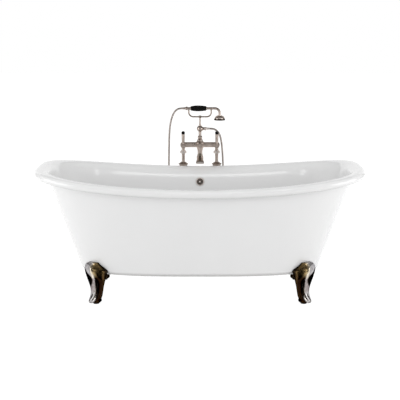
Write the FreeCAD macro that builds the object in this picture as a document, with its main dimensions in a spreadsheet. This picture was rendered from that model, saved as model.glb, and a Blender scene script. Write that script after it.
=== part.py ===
import FreeCAD, Part
import math
import os
import re
import Sketcher

# A double-ended footed bathtub: an acrylic inner tub with a rolled rim inside an acrylic
# outer skin, four cast feet, and a bath and shower mixer standing on the back of the rim.
# Millimetres. X runs along the bath, Y from the front to the back, Z up from the floor.

document = FreeCAD.newDocument("footed_bathtub")
sheet = document.addObject("Spreadsheet::Sheet", "Sizes")
Vector = FreeCAD.Vector

driving_sizes = {
    # Whole bath
    "bath_length": 1640, "bath_width": 700, "rim_height": 600, "rim_rise": 61,
    "roll_radius": 20, "lip_wrap_angle": 243, "lip_end_tuck": 19, "cut_overrun": 5, "fit_gap": 0.3,
    # Inner tub
    "tub_wall": 6, "floor_height": 215, "floor_end_inset": 305, "floor_side_inset": 190,
    "tap_block_radius": 16, "tap_block_depth": 43, "tap_seat_radius": 19.5,
    "tap_seat_depth": 13, "tap_seat_rise": 1.5, "tap_hole_radius": 14,
    "waste_hole_radius": 22.6, "overflow_hole_radius": 20,
    # Outer skin
    "skin_wall": 5, "skin_bottom": 148, "skin_edge_radius": 26, "skin_lap": 8,
    "skin_low_end_inset": 210, "skin_low_side_inset": 96, "skin_turn_in": 12,
    # Base board, bearers and rails under the tub
    "board_end_inset": 15, "board_side_inset": 25, "board_thickness": 16,
    "board_corner": 60, "board_hole_radius": 40, "bearer_width": 44, "bearer_overhang": 18,
    "rail_inset": 25, "rail_width": 34, "rail_depth": 25,
    # Feet
    "foot_height": 213, "foot_end_inset": 94, "foot_side_inset": 57, "foot_turn": 60,
    "foot_reach": 50, "foot_half_width": 76, "foot_back": 26, "foot_skin_gap": 0.6,
    "shelf_drop": 2, "shelf_thickness": 8, "shelf_width": 30,
    "bolt_reach_x": 68, "bolt_reach_y": 62, "web_reach": 53, "web_low_reach": 31,
    "web_depth": 38, "web_root_depth": 86, "web_thickness": 8, "web_turn": 14,
    "bolt_radius": 4, "bolt_head_radius": 7.5, "bolt_head_height": 5.5, "bolt_grip": 30,
    "bolt_washer_radius": 10, "bolt_washer_thickness": 1.5,
    "pad_radius": 15, "pad_height": 7, "pad_stud_radius": 4, "pad_stud_length": 20,
    # Waste
    "waste_flange_radius": 35, "waste_flange_rise": 2.5, "waste_tail_radius": 22.2,
    "waste_bore": 18.5, "waste_tail_length": 48, "waste_recess_radius": 28.5,
    "waste_recess_depth": 1.5, "waste_body_radius": 30, "waste_body_drop": 78,
    "waste_outlet_radius": 23.9, "waste_outlet_length": 42, "waste_gasket_thickness": 2,
    "waste_port_drop": 63, "waste_port_radius": 14, "waste_port_reach": 42,
    "plug_radius": 27.5, "plug_edge": 2.5, "plug_dome": 2.5, "plug_stem_radius": 5,
    "plug_stem_length": 34, "guide_hub_radius": 9, "guide_drop": 14, "guide_height": 9,
    "guide_arm_width": 4,
    # Overflow
    "overflow_rose_radius": 23, "overflow_rose_rise": 5,
    "overflow_rose_edge": 2, "overflow_hole_circle": 10.5, "overflow_slot_radius": 3.4,
    "overflow_screw_radius": 3, "overflow_screw_head": 5, "overflow_screw_length": 24,
    "overflow_gasket_thickness": 2, "overflow_wall_gap": 0.8, "overflow_body_radius": 25,
    "overflow_body_depth": 17, "overflow_body_wall": 3, "overflow_spigot_radius": 12,
    "overflow_spigot_length": 36, "overflow_port_radius": 6, "overflow_pipe_radius": 10,
    "overflow_pipe_bore": 8.5, "overflow_nut_radius": 14.5, "overflow_nut_length": 16,
    # Mixer
    "tap_centre_distance": 180, "pillar_stem_radius": 8.5, "pillar_bore": 5.5,
    "tail_radius": 13.2, "tail_length": 80, "tail_joint_length": 20, "tail_groove_width": 2,
    "tail_groove_depth": 1, "pillar_shoulder_radius": 16,
    "pillar_shoulder_height": 2, "pillar_collar_radius": 11.3, "pillar_collar_height": 3.5,
    "union_height": 70, "union_length": 12.5, "union_lip": 2.2, "union_nut_radius": 17,
    "saucer_base_radius": 20, "saucer_radius": 26.3, "saucer_height": 20,
    "backnut_radius": 18, "backnut_height": 9, "clamp_washer_radius": 17.5,
    "clamp_washer_thickness": 2,
    "mixer_axis_height": 113.5, "crossbar_radius": 14, "end_ball_radius": 16,
    "inlet_radius": 11.2, "inlet_length": 8, "inlet_neck_radius": 9.2, "body_radius": 22.5,
    "body_waist_radius": 13, "body_waist_height": 70, "body_foot_radius": 18,
    "body_top_height": 146.5, "body_bottom_height": 26, "body_collar_radius": 9.5,
    "valve_boss_radius": 13.5, "valve_face_setback": 17, "cartridge_radius": 9.7,
    "cartridge_length": 15, "spindle_radius": 4, "spindle_length": 9,
    "lever_hub_radius": 15.5, "lever_hub_thickness": 8.5, "lever_neck_radius": 9,
    "lever_neck_length": 6, "lever_cap_radius": 6.5, "lever_cap_height": 2.5,
    "lever_root_radius": 7.4, "lever_end_radius": 8.8, "lever_length": 60,
    "lever_tip_radius": 9.8, "lever_tip_seat": 7.5,
    "diverter_boss_radius": 14, "diverter_face_setback": 29, "diverter_hub_radius": 12,
    "diverter_hub_thickness": 10, "diverter_arm_radius": 4.5, "diverter_length": 41,
    "diverter_tip_radius": 10.3, "diverter_tip_seat": 9,
    "spout_height": 38.5, "spout_start": 19, "spout_reach": 100, "spout_root_half_width": 15.5,
    "spout_root_half_height": 10, "spout_mouth_half_width": 21.8, "spout_mouth_depth": 24,
    "spout_mouth_drop": 13, "spout_boss_radius": 12, "spout_wall": 3,
    "riser_radius": 7.5, "riser_collar_radius": 12, "riser_collar_height": 15,
    "riser_ball_height": 200.5, "riser_ball_radius": 17, "riser_arm_radius": 11,
    "riser_arm_end_radius": 7, "riser_arm_length": 24, "hose_spigot_radius": 6,
    "hose_spigot_length": 8, "riser_top_length": 22, "riser_top_radius": 6.5,
    # Cradle
    "fork_radius": 3.9, "fork_bar_height": 264.5, "fork_half_width": 60, "fork_bend": 24,
    "fork_hub_radius": 6.8, "fork_hub_length": 13, "fork_stem_radius": 4.2,
    "yoke_wall": 3, "yoke_width": 8,
    # Handset
    "handset_height": 309.5, "handset_tube_radius": 6.5, "handset_bore": 4.5,
    "handset_tail": 66, "handset_bend_radius": 25, "handset_rose_x": 105,
    "handset_tail_spigot_radius": 6, "handset_tail_spigot": 8,
    "grip_start": 49, "grip_end": 33, "grip_swell": 12, "grip_radius": 15.8,
    "grip_start_radius": 11.5, "grip_end_radius": 12, "grip_ferrule_length": 5,
    "grip_ferrule_radius": 8.6, "running_gap": 0.1,
    "rose_top": 278.5, "rose_neck_radius": 8, "rose_neck_length": 7, "rose_radius": 29.5,
    "rose_bell_depth": 19, "rose_rim_height": 5.5, "rose_wall": 2, "rose_plate_thickness": 2.5,
    "rose_hole_radius": 1, "rose_hole_distance": 6.6,
    # Hose and its ends
    "hose_radius": 5.3, "hose_nut_radius": 9.5, "hose_nut_length": 12,
    "ferrule_length": 16, "ferrule_radius": 6.4,
}

# The skin, the floor, the timber and the feet keep their place under the rim
derived_sizes = {
    "floor_half_length": "bath_length / 2 - floor_end_inset",
    "floor_half_width": "bath_width / 2 - floor_side_inset",
    "skin_low_half_length": "bath_length / 2 - skin_low_end_inset",
    "skin_low_half_width": "bath_width / 2 - skin_low_side_inset",
    "board_half_length": "floor_half_length - board_end_inset",
    "board_half_width": "floor_half_width - board_side_inset",
    "shelf_height": "skin_bottom - shelf_drop",
    "foot_x": "skin_low_half_length - foot_end_inset",
    "foot_y": "skin_low_half_width - foot_side_inset",
    "bolt_x": "foot_x - bolt_reach_x",
    "bolt_y": "foot_y - bolt_reach_y",
    "waste_port_height": "floor_height - waste_port_drop",
}
sheet_cells = {alias: str(value) for alias, value in driving_sizes.items()}
sheet_cells.update({alias: "=" + text for alias, text in derived_sizes.items()})
for row, (alias, cell) in enumerate(sheet_cells.items(), start=1):
    sheet.set(f"A{row}", alias)
    sheet.set(f"B{row}", cell)
    sheet.setAlias(f"B{row}", alias)
document.recompute()

known_words = re.compile(r"[a-z_][a-z_0-9]*")


def formula(text):
    """The same sum, with each size named as the sheet holds it"""
    return known_words.sub(lambda word: "Sizes." + word.group() if word.group() in sheet_cells
                           else word.group(), text)


def number(text):
    """What a sum of named sizes comes to"""
    return float(sheet.evalExpression(formula(text)))


def bind(thing, **sums):
    """Ties properties of an object to sums of named sizes"""
    for name, text in sums.items():
        thing.setExpression(name, formula(text))


nodes = {}


def finish(thing, label):
    thing.Label = label
    nodes[label] = thing
    return thing


def seat(thing, x="0", y="0", z="0", rotation=FreeCAD.Rotation()):
    """Places an object, with each coordinate tied to named sizes"""
    thing.Placement = FreeCAD.Placement(Vector(number(x), number(y), number(z)), rotation)
    for axis, text in (("x", x), ("y", y), ("z", z)):
        if text != "0":
            thing.setExpression("Placement.Base." + axis, formula(text))
    return thing


along_x = FreeCAD.Rotation(Vector(0, 1, 0), 90)
towards_front = FreeCAD.Rotation(Vector(1, 0, 0), 90)


def origin_plane(body, role):
    return next(feature for feature in body.Origin.OriginFeatures if feature.Role == role)


def outline_sketch(body, name, corners, role="XZ_Plane"):
    """A closed outline. Each corner gives its radius and height, and an arc's radius where the
    edge that leaves it is round; a minus before that radius bends the arc the other way."""
    sketch = body.newObject("Sketcher::SketchObject", name)
    sketch.AttachmentSupport = (origin_plane(body, role), [""])
    sketch.MapMode = "FlatFace"
    places = [Vector(number(corner[0]), number(corner[1]), 0) for corner in corners]
    count = len(corners)
    starts = []
    for index, corner in enumerate(corners):
        start = places[index]
        end = places[(index + 1) % count]
        starts.append(1)
        if len(corner) == 2:
            sketch.addGeometry(Part.LineSegment(start, end), False)
            continue
        radius = number(corner[2])
        half_chord = start.distanceToPoint(end) / 2
        side = Vector(end.y - start.y, start.x - end.x, 0).normalize()
        offset = math.sqrt(max(radius * radius - half_chord * half_chord, 0))
        middle = (start + end) / 2 - side * math.copysign(offset, radius)
        # An arc always runs anticlockwise in its sketch, so one that bends the other way
        # starts at this corner's far end
        if radius < 0:
            start, end = end, start
            starts[-1] = 2
        first = math.atan2(start.y - middle.y, start.x - middle.x)
        last = math.atan2(end.y - middle.y, end.x - middle.x)
        if last < first:
            last += 2 * math.pi
        circle = Part.Circle(middle, Vector(0, 0, 1), abs(radius))
        sketch.addGeometry(Part.ArcOfCircle(circle, first, last), False)
    for index in range(count):
        following = (index + 1) % count
        sketch.addConstraint(Sketcher.Constraint(
            "Coincident", index, 3 - starts[index], following, starts[following]))
    for index, corner in enumerate(corners):
        for kind, text, axis in (("DistanceX", corner[0], -2), ("DistanceY", corner[1], -1)):
            if text == "0":
                sketch.addConstraint(Sketcher.Constraint("PointOnObject", index, starts[index], axis))
                continue
            place = sketch.addConstraint(Sketcher.Constraint(
                kind, -1, 1, index, starts[index], number(text)))
            sketch.setExpression(f"Constraints[{place}]", formula(text))
        if len(corner) == 3:
            place = sketch.addConstraint(Sketcher.Constraint(
                "Radius", index, abs(number(corner[2]))))
            sketch.setExpression(f"Constraints[{place}]", formula("abs(" + corner[2] + ")"))
    return sketch


def turned(label, corners):
    """A turned piece: its half outline goes once round the upright axis of its own body"""
    body = document.addObject("PartDesign::Body", label)
    sketch = outline_sketch(body, label + "_outline", corners)
    turn = body.newObject("PartDesign::Revolution", label + "_turn")
    turn.Profile = sketch
    turn.ReferenceAxis = (sketch, ["V_Axis"])
    turn.Angle = 360
    body.Tip = turn
    return body


def primitive(kind, name, x="0", y="0", z="0", rotation=FreeCAD.Rotation(), **sums):
    thing = document.addObject(kind, name)
    bind(thing, **sums)
    return seat(thing, x, y, z, rotation)


def fused(name, pieces):
    whole = document.addObject("Part::MultiFuse", name)
    whole.Shapes = pieces
    return whole


def cut(name, base, tool):
    rest = document.addObject("Part::Cut", name)
    rest.Base = base
    rest.Tool = tool
    return rest


def grouped(name, pieces):
    group = document.addObject("Part::Compound", name)
    group.Links = pieces
    return group


def copied(name, source, x="0", y="0", z="0", rotation=FreeCAD.Rotation()):
    """One more of the same piece somewhere else"""
    twin = document.addObject("Part::Compound", name)
    twin.Links = [source]
    return seat(twin, x, y, z, rotation)


def mirrored(name, source, normal):
    twin = document.addObject("Part::Mirroring", name)
    twin.Source = source
    twin.Normal = normal
    return twin


def shaped(name, shape):
    thing = document.addObject("Part::Feature", name)
    thing.Shape = shape
    return thing


# Rings of the tub and its skin
ring_points = 48
rim_plan_power = 3.38
floor_plan_power = 3.0
crest_half_length = number("bath_length / 2 - roll_radius")
crest_half_width = number("bath_width / 2 - roll_radius")
rim_height = number("rim_height")
rim_rise = number("rim_rise")
floor_height = number("floor_height")
roll_radius = number("roll_radius")


def plan_ring(half_length, half_width, height, rise, power):
    """A closed superellipse seen from above, lifted towards both ends with the square of X"""
    points = []
    for index in range(ring_points):
        turn = 2 * math.pi * index / ring_points
        across = math.cos(turn)
        along = math.sin(turn)
        reach = (abs(across) ** power + abs(along) ** power) ** (-1 / power)
        lift = rise * (across * reach) ** 2
        points.append(Vector(half_length * across * reach, half_width * along * reach, height + lift))
    curve = Part.BSplineCurve()
    curve.interpolate(Points=points, PeriodicFlag=True,
                      Parameters=[index / ring_points for index in range(ring_points + 1)])
    return Part.Wire(curve.toShape())


def thickened(profile, wall, first_tangent=None):
    """The profile moved by the wall to its right, worked out apart at the side and at the end.
    A profile holds half length, half width, height, rise and plan power at each step."""
    moved = []
    for index, (half_length, half_width, height, rise, power) in enumerate(profile):
        before = profile[max(index - 1, 0)]
        after = profile[min(index + 1, len(profile) - 1)]
        side = (after[1] - before[1], after[2] - before[2])
        end = (after[0] - before[0], after[2] + after[3] - before[2] - before[3])
        if index == 0 and first_tangent:
            side = end = first_tangent
        side_size = math.hypot(*side)
        end_size = math.hypot(*end)
        new_height = height - wall * side[0] / side_size
        new_end_height = height + rise - wall * end[0] / end_size
        moved.append((half_length + wall * end[1] / end_size, half_width + wall * side[1] / side_size,
                      new_height, new_end_height - new_height, power))
    return moved


def rings(profile):
    return [plan_ring(*step) for step in profile]


def closed_shell(faces):
    """One solid from faces that meet along their edges"""
    sewn = Part.makeCompound(faces)
    sewn.sewShape()
    return Part.Solid(sewn.Shells[0])


# Inner tub: floor, sloping ends, rolled rim
inner_height_shares = (0, 0.012, 0.04, 0.09, 0.17, 0.26, 0.36, 0.46,
                       0.56, 0.66, 0.75, 0.83, 0.90, 0.95, 0.985, 1)
inner_width_shares = (0, 0.094, 0.153, 0.205, 0.262, 0.318, 0.377, 0.430,
                      0.478, 0.525, 0.568, 0.615, 0.675, 0.755, 0.87, 1)
inner_length_shares = (0, 0.07, 0.125, 0.165, 0.220, 0.292, 0.377, 0.465,
                       0.553, 0.640, 0.712, 0.762, 0.797, 0.828, 0.885, 1)
inner_profile = []
for height_share, width_share, length_share in zip(
        inner_height_shares, inner_width_shares, inner_length_shares):
    floor_half_length = number("floor_half_length")
    floor_half_width = number("floor_half_width")
    inner_profile.append((
        floor_half_length + length_share * (crest_half_length - floor_half_length),
        floor_half_width + width_share * (crest_half_width - floor_half_width),
        floor_height + height_share * (rim_height - floor_height),
        height_share * rim_rise,
        floor_plan_power + height_share * (rim_plan_power - floor_plan_power)))
roll_steps = 9
lip_turn = math.radians(number("lip_wrap_angle"))
for step in range(1, roll_steps + 1):
    turn = lip_turn * step / roll_steps
    # Past the underside the lip runs further in at the ends than at the sides
    end_tuck = number("lip_end_tuck") * max(math.sin(turn) / math.sin(lip_turn), 0) ** 2
    inner_profile.append((
        crest_half_length + roll_radius * math.sin(turn) - end_tuck,
        crest_half_width + roll_radius * math.sin(turn),
        rim_height - roll_radius * (1 - math.cos(turn)),
        rim_rise,
        rim_plan_power))
water_rings = rings(inner_profile)
back_rings = rings(thickened(inner_profile, number("tub_wall"), first_tangent=(1, 0)))
tub_shell = shaped("tub_shell", closed_shell(
    Part.makeLoft(water_rings, False, False).Faces
    + Part.makeLoft([water_rings[-1], back_rings[-1]], False, True).Faces
    + Part.makeLoft(back_rings, False, False).Faces
    + [Part.Face(water_rings[0]), Part.Face(back_rings[0])]))

tap_line = "(bath_width / 2 - roll_radius)"
tap_seat = "(rim_height + tap_seat_rise)"
tap_blocks = []
tap_holes = []
for side, sign in (("left", "-"), ("right", "")):
    tap_x = sign + "tap_centre_distance / 2"
    tap_blocks.append(primitive(
        "Part::Cylinder", side + "_tap_block", tap_x, tap_line, tap_seat + " - tap_block_depth",
        Radius="tap_block_radius", Height="tap_block_depth - tap_seat_depth / 2"))
    tap_blocks.append(primitive(
        "Part::Cylinder", side + "_tap_seat", tap_x, tap_line, tap_seat + " - tap_seat_depth",
        Radius="tap_seat_radius", Height="tap_seat_depth"))
    tap_holes.append(primitive(
        "Part::Cylinder", side + "_tap_hole", tap_x, tap_line,
        tap_seat + " - tap_block_depth - cut_overrun",
        Radius="tap_hole_radius", Height="tap_block_depth + 2 * cut_overrun"))


def inner_wall_at(height):
    """Where the back wall's water side stands at a height, and how far it leans back per unit"""
    for low, high in zip(inner_profile, inner_profile[1:]):
        if low[2] <= height <= high[2]:
            lean = (high[1] - low[1]) / (high[2] - low[2])
            return low[1] + lean * (height - low[2]), lean
    raise ValueError("the height is outside the back wall")


overflow_height_share = 0.805
overflow_height = floor_height + overflow_height_share * (rim_height - floor_height)
overflow_setback, overflow_lean = inner_wall_at(overflow_height)
overflow_tilt = math.degrees(math.atan(overflow_lean))
# The overflow's own upright axis points into the bath, square to the back wall
overflow_rotation = FreeCAD.Rotation(Vector(1, 0, 0), 90 - overflow_tilt)


def overflow_place(distance):
    """A point on the overflow's axis, measured from the wall's water side into the bath"""
    into_bath = overflow_rotation.multVec(Vector(0, 0, 1))
    return FreeCAD.Placement(
        Vector(0, overflow_setback, overflow_height) + into_bath * distance, overflow_rotation)


overflow_hole = primitive("Part::Cylinder", "overflow_hole", Radius="overflow_hole_radius",
                          Height="2 * tub_wall + 2 * cut_overrun")
overflow_hole.Placement = overflow_place(-number("tub_wall + cut_overrun"))
waste_hole = primitive("Part::Cylinder", "waste_hole",
                       z="floor_height - tub_wall - cut_overrun",
                       Radius="waste_hole_radius", Height="tub_wall + 2 * cut_overrun")
finish(cut("inner_tub_drilled", fused("inner_tub_body", [tub_shell] + tap_blocks),
           fused("inner_tub_holes", tap_holes + [overflow_hole, waste_hole])), "inner_tub")

# Outer skin: straight sloping walls, a rounded bottom edge turned in under the tub
lip_inset = roll_radius * math.sin(lip_turn) - number("fit_gap")
lip_height = rim_height - roll_radius * (1 - math.cos(lip_turn))
skin_bottom = number("skin_bottom")
edge_radius = number("skin_edge_radius")
lip_half_length = crest_half_length + lip_inset - number("lip_end_tuck")
low_half_length = number("skin_low_half_length")
low_half_width = number("skin_low_half_width")
edge_steps = 5


def skin_profile(gap):
    """The skin's outside, moved out by the gap, from the rim down to the turned-in edge"""
    low = skin_bottom + edge_radius
    wall_height = lip_height - low
    top_share = 1 + number("skin_lap") / wall_height
    profile = []
    for share in (top_share, 0):
        profile.append((
            low_half_length + share * (lip_half_length - low_half_length) + gap,
            low_half_width + share * (crest_half_width + lip_inset - low_half_width) + gap,
            low + share * wall_height,
            share * rim_rise,
            floor_plan_power + share * (rim_plan_power - floor_plan_power)))
    for step in range(1, edge_steps + 1):
        turn = math.pi / 2 * step / edge_steps
        inset = edge_radius * (1 - math.cos(turn))
        profile.append((
            low_half_length - inset + gap * math.cos(turn),
            low_half_width - inset + gap * math.cos(turn),
            low - (edge_radius + gap) * math.sin(turn),
            0,
            floor_plan_power))
    return profile


outside = skin_profile(0)
last = outside[-1]
turn_in = number("skin_turn_in")
outside.append((last[0] - turn_in, last[1] - turn_in, last[2], last[3], last[4]))
outside_rings = rings(outside)
inside_rings = rings(thickened(outside, number("skin_wall")))


def skin_faces(steps):
    """A straight wall, the round edge below it, and the flat turned-in strip if there is one"""
    edge_end = 2 + edge_steps
    faces = Part.makeLoft(steps[:2], False, True).Faces
    faces += Part.makeLoft(steps[1:edge_end], False, False).Faces
    if len(steps) > edge_end:
        faces += Part.makeLoft(steps[edge_end - 1:], False, True).Faces
    return faces


finish(shaped("outer_skin_shell", closed_shell(
    skin_faces(outside_rings) + skin_faces(inside_rings)
    + Part.makeLoft([outside_rings[-1], inside_rings[-1]], False, True).Faces
    + Part.makeLoft([outside_rings[0], inside_rings[0]], False, True).Faces)), "outer_skin")

# Base board: a plywood board bonded under the tub's floor, with a hole for the waste
board_top = "(floor_height - tub_wall)"
board_body = document.addObject("PartDesign::Body", "base_board")
board_sketch = outline_sketch(board_body, "board_outline", [
    ("-board_half_length", "-board_half_width"), ("board_half_length", "-board_half_width"),
    ("board_half_length", "board_half_width"), ("-board_half_length", "board_half_width")],
    role="XY_Plane")
board_pad = board_body.newObject("PartDesign::Pad", "board_pad")
board_pad.Profile = board_sketch
bind(board_pad, Length="board_thickness")
document.recompute()
upright_edges = [
    f"Edge{index}" for index, edge in enumerate(board_pad.Shape.Edges, start=1)
    if abs(edge.Vertexes[0].Z - edge.Vertexes[-1].Z) > number("board_thickness") / 2]
board_corners = board_body.newObject("PartDesign::Fillet", "board_corners")
board_corners.Base = (board_pad, upright_edges)
bind(board_corners, Radius="board_corner")
board_body.Tip = board_corners
seat(board_body, z=board_top + " - board_thickness")
board_hole = primitive("Part::Cylinder", "board_hole",
                       z=board_top + " - board_thickness - cut_overrun",
                       Radius="board_hole_radius", Height="board_thickness + 2 * cut_overrun")
finish(cut("base_board_drilled", board_body, board_hole), "base_board")

# Cross bearers and side rails: sawn timber under the board, drilled for the foot bolts
bearer_top = "(floor_height - tub_wall - board_thickness)"
bearers = []
bolt_holes = []
for side, sign in (("left", -1), ("right", 1)):
    bearers.append(primitive(
        "Part::Box", side + "_bearer", f"{sign} * bolt_x - bearer_width / 2",
        "-bolt_y - bearer_overhang", "shelf_height", Length="bearer_width",
        Width="2 * (bolt_y + bearer_overhang)", Height=bearer_top + " - shelf_height"))
    for face, depth in (("front", -1), ("rear", 1)):
        bolt_holes.append(primitive(
            "Part::Cylinder", f"{face}_{side}_bolt_hole", f"{sign} * bolt_x", f"{depth} * bolt_y",
            "shelf_height - cut_overrun", Radius="bolt_radius + running_gap",
            Height="bolt_grip + cut_overrun + fit_gap"))
finish(cut("cross_bearers_drilled", grouped("cross_bearer_pair", bearers),
           fused("bearer_holes", bolt_holes)), "cross_bearers")
rails = []
for side, sign in (("front", -1), ("rear", 1)):
    rails.append(primitive(
        "Part::Box", side + "_rail", "bearer_width / 2 - bolt_x",
        f"{sign} * (board_half_width - rail_inset) - rail_width / 2", bearer_top + " - rail_depth",
        Length="2 * bolt_x - bearer_width", Width="rail_width", Height="rail_depth"))
finish(grouped("side_rail_pair", rails), "side_rails")

# Feet: cast legs with a keeled knee that hugs the skin and two rounded lobes lower down.
# Each section runs round from the front middle; U points out from the bath, W along it.
ridge_u_shares = (1, 0.86, 0.60, 0.33, 0.10, 0, 0)
ridge_w_shares = (0, 0.25, 0.60, 0.86, 1, 0.8, 0.4)
lobe_u_shares = (0.84, 1, 0.86, 0.62, 0.36, 0.10, 0)
lobe_w_shares = (0, 0.38, 0.78, 0.98, 1, 0.78, 0.36)
foot_level_shares = (0.033, 0.055, 0.10, 0.17, 0.26, 0.37, 0.50, 0.62, 0.72, 0.80, 0.88, 0.95, 1)
foot_front_shares = (0.62, 0.80, 0.86, 0.72, 0.54, 0.46, 0.50, 0.68, 0.88, 0.98, 1, 0.86, 0.60)
foot_back_shares = (0.70, 0.95, 1, 1, 0.98, 0.98, 1, 1, 1, 1, 1, 1, 1)
foot_width_shares = (0.29, 0.38, 0.425, 0.455, 0.48, 0.53, 0.64, 0.77, 0.865, 0.94, 0.80, 0.62, 0.46)
foot_side_shares = (0, 0.05, 0.11, 0.155, 0.17, 0.20, 0.24, 0.22, 0.20, 0.16, 0.22, 0.29, 0.26)
foot_lean_shares = (0, 0.08, 0.19, 0.37, 0.46, 0.505, 0.54, 0.52, 0.445, 0.36, 0.37, 0.38, 0.37)
foot_ridge_shares = (0, 0, 0, 0, 0, 0, 0, 0.3, 0.7, 1, 1, 1, 1)
foot_height = number("foot_height")
foot_reach = number("foot_reach")
foot_back = number("foot_back")
foot_half_width = number("foot_half_width")
foot_turn = math.radians(number("foot_turn"))
outward = Vector(-math.cos(foot_turn), -math.sin(foot_turn), 0)
sideways = Vector(-math.sin(foot_turn), math.cos(foot_turn), 0)
foot_centre = Vector(-number("foot_x"), -number("foot_y"), 0)


def foot_ring(level, front_share, back_share, width_share, side_share, lean_share, ridge_share):
    """One section. Its front leans along W, towards the middle of the bath."""
    front = foot_reach * front_share
    back = -foot_back * back_share
    half_width = foot_half_width * width_share
    middle = foot_half_width * side_share
    lean = foot_half_width * lean_share / (front - back)
    half = []
    for ridge_u, ridge_w, lobe_u, lobe_w in zip(
            ridge_u_shares, ridge_w_shares, lobe_u_shares, lobe_w_shares):
        share_u = lobe_u + ridge_share * (ridge_u - lobe_u)
        share_w = lobe_w + ridge_share * (ridge_w - lobe_w)
        half.append((back + share_u * (front - back), half_width * share_w))
    outline = half + [(back, 0)] + [(u, -w) for u, w in reversed(half[1:])]
    points = [foot_centre + outward * u + sideways * (middle + w - lean * (u - back))
              + Vector(0, 0, level * foot_height) for u, w in outline]
    curve = Part.BSplineCurve()
    curve.interpolate(Points=points, PeriodicFlag=True,
                      Parameters=[index / len(points) for index in range(len(points) + 1)])
    return Part.Wire(curve.toShape())


leg = Part.makeLoft([foot_ring(*shares) for shares in zip(
    foot_level_shares, foot_front_shares, foot_back_shares, foot_width_shares,
    foot_side_shares, foot_lean_shares, foot_ridge_shares)], True, False)
# The wall of the skin, grown by the gap, cuts the back of the leg to its shape
gap_rings = rings(skin_profile(number("foot_skin_gap")))
leg = leg.cut(closed_shell(skin_faces(gap_rings)
                           + [Part.makeFilledFace(gap_rings[0].Edges), Part.Face(gap_rings[-1])]))
leg = shaped("front_left_leg", max(leg.Solids, key=lambda solid: solid.Volume))
bolt_place = Vector(-number("bolt_x"), -number("bolt_y"), number("shelf_height - shelf_thickness"))
shelf_width = number("shelf_width")
shelf_start = foot_centre + Vector(0, 0, bolt_place.z)
shelf_line = (bolt_place - shelf_start).normalize()
shelf_side = Vector(-shelf_line.y, shelf_line.x, 0) * (shelf_width / 2)
shelf_outline = Part.makePolygon([
    shelf_start + shelf_side, bolt_place + shelf_side, bolt_place - shelf_side,
    shelf_start - shelf_side, shelf_start + shelf_side])
shelf_plate = Part.Face(shelf_outline).extrude(Vector(0, 0, number("shelf_thickness")))
shelf_round = Part.makeCylinder(shelf_width / 2, number("shelf_thickness"), bolt_place)
shelf = shaped("front_left_shelf", shelf_plate.fuse(shelf_round).removeSplitter())
# A web runs from the leg along the skin's bottom edge and slopes down into the ankle
web_turn = math.radians(number("web_turn"))
web_line = Vector(math.cos(web_turn), math.sin(web_turn), 0)
web_side = Vector(-web_line.y, web_line.x, 0) * number("web_thickness")
web_top = foot_centre - web_side / 2 + Vector(0, 0, number("shelf_height"))
web_outline = [
    web_top,
    web_top + web_line * number("web_reach"),
    web_top + web_line * number("web_low_reach") - Vector(0, 0, number("web_depth")),
    web_top - Vector(0, 0, number("web_root_depth")),
    web_top,
]
web = shaped("front_left_web", Part.Face(Part.makePolygon(web_outline)).extrude(web_side))
shelf_hole = primitive("Part::Cylinder", "shelf_hole", "-bolt_x", "-bolt_y",
                       "shelf_height - shelf_thickness - cut_overrun",
                       Radius="bolt_radius + running_gap",
                       Height="shelf_thickness + 2 * cut_overrun")
pad_hole = primitive("Part::Cylinder", "pad_hole", "-foot_x", "-foot_y", "0",
                     Radius="pad_stud_radius + running_gap",
                     Height="pad_height + pad_stud_length + fit_gap")
foot_casting = cut("front_left_foot_casting", fused("front_left_foot_body", [leg, shelf, web]),
                   fused("front_left_foot_holes", [shelf_hole, pad_hole]))
finish(foot_casting, "front_left_foot")
finish(mirrored("front_right_casting", foot_casting, Vector(1, 0, 0)), "front_right_foot")
finish(mirrored("rear_left_casting", foot_casting, Vector(0, 1, 0)), "rear_left_foot")
finish(mirrored("rear_right_casting", nodes["front_right_foot"], Vector(0, 1, 0)),
       "rear_right_foot")

# Foot bolts with their washers, and screw-in levelling pads under the toes
bolt = turned("foot_bolt_turned", [
    ("0", "-bolt_washer_thickness - bolt_head_height"),
    ("bolt_head_radius", "-bolt_washer_thickness - bolt_head_height"),
    ("bolt_head_radius", "-bolt_washer_thickness"),
    ("bolt_washer_radius", "-bolt_washer_thickness"), ("bolt_washer_radius", "0"),
    ("bolt_radius", "0"), ("bolt_radius", "shelf_thickness + bolt_grip"),
    ("0", "shelf_thickness + bolt_grip")])
pad = turned("foot_pad_turned", [
    ("0", "0"), ("pad_radius", "0"), ("pad_radius", "pad_height"),
    ("pad_stud_radius", "pad_height"), ("pad_stud_radius", "pad_height + pad_stud_length"),
    ("0", "pad_height + pad_stud_length")])
bolts = []
pads = []
for face, depth in (("front", -1), ("rear", 1)):
    for side, sign in (("left", -1), ("right", 1)):
        bolts.append(copied(f"{face}_{side}_bolt", bolt, f"{sign} * bolt_x", f"{depth} * bolt_y",
                            "shelf_height - shelf_thickness"))
        pads.append(copied(f"{face}_{side}_pad", pad, f"{sign} * foot_x", f"{depth} * foot_y"))
finish(grouped("foot_bolt_set", bolts), "foot_bolts")
finish(grouped("foot_pad_set", pads), "foot_pads")

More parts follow.
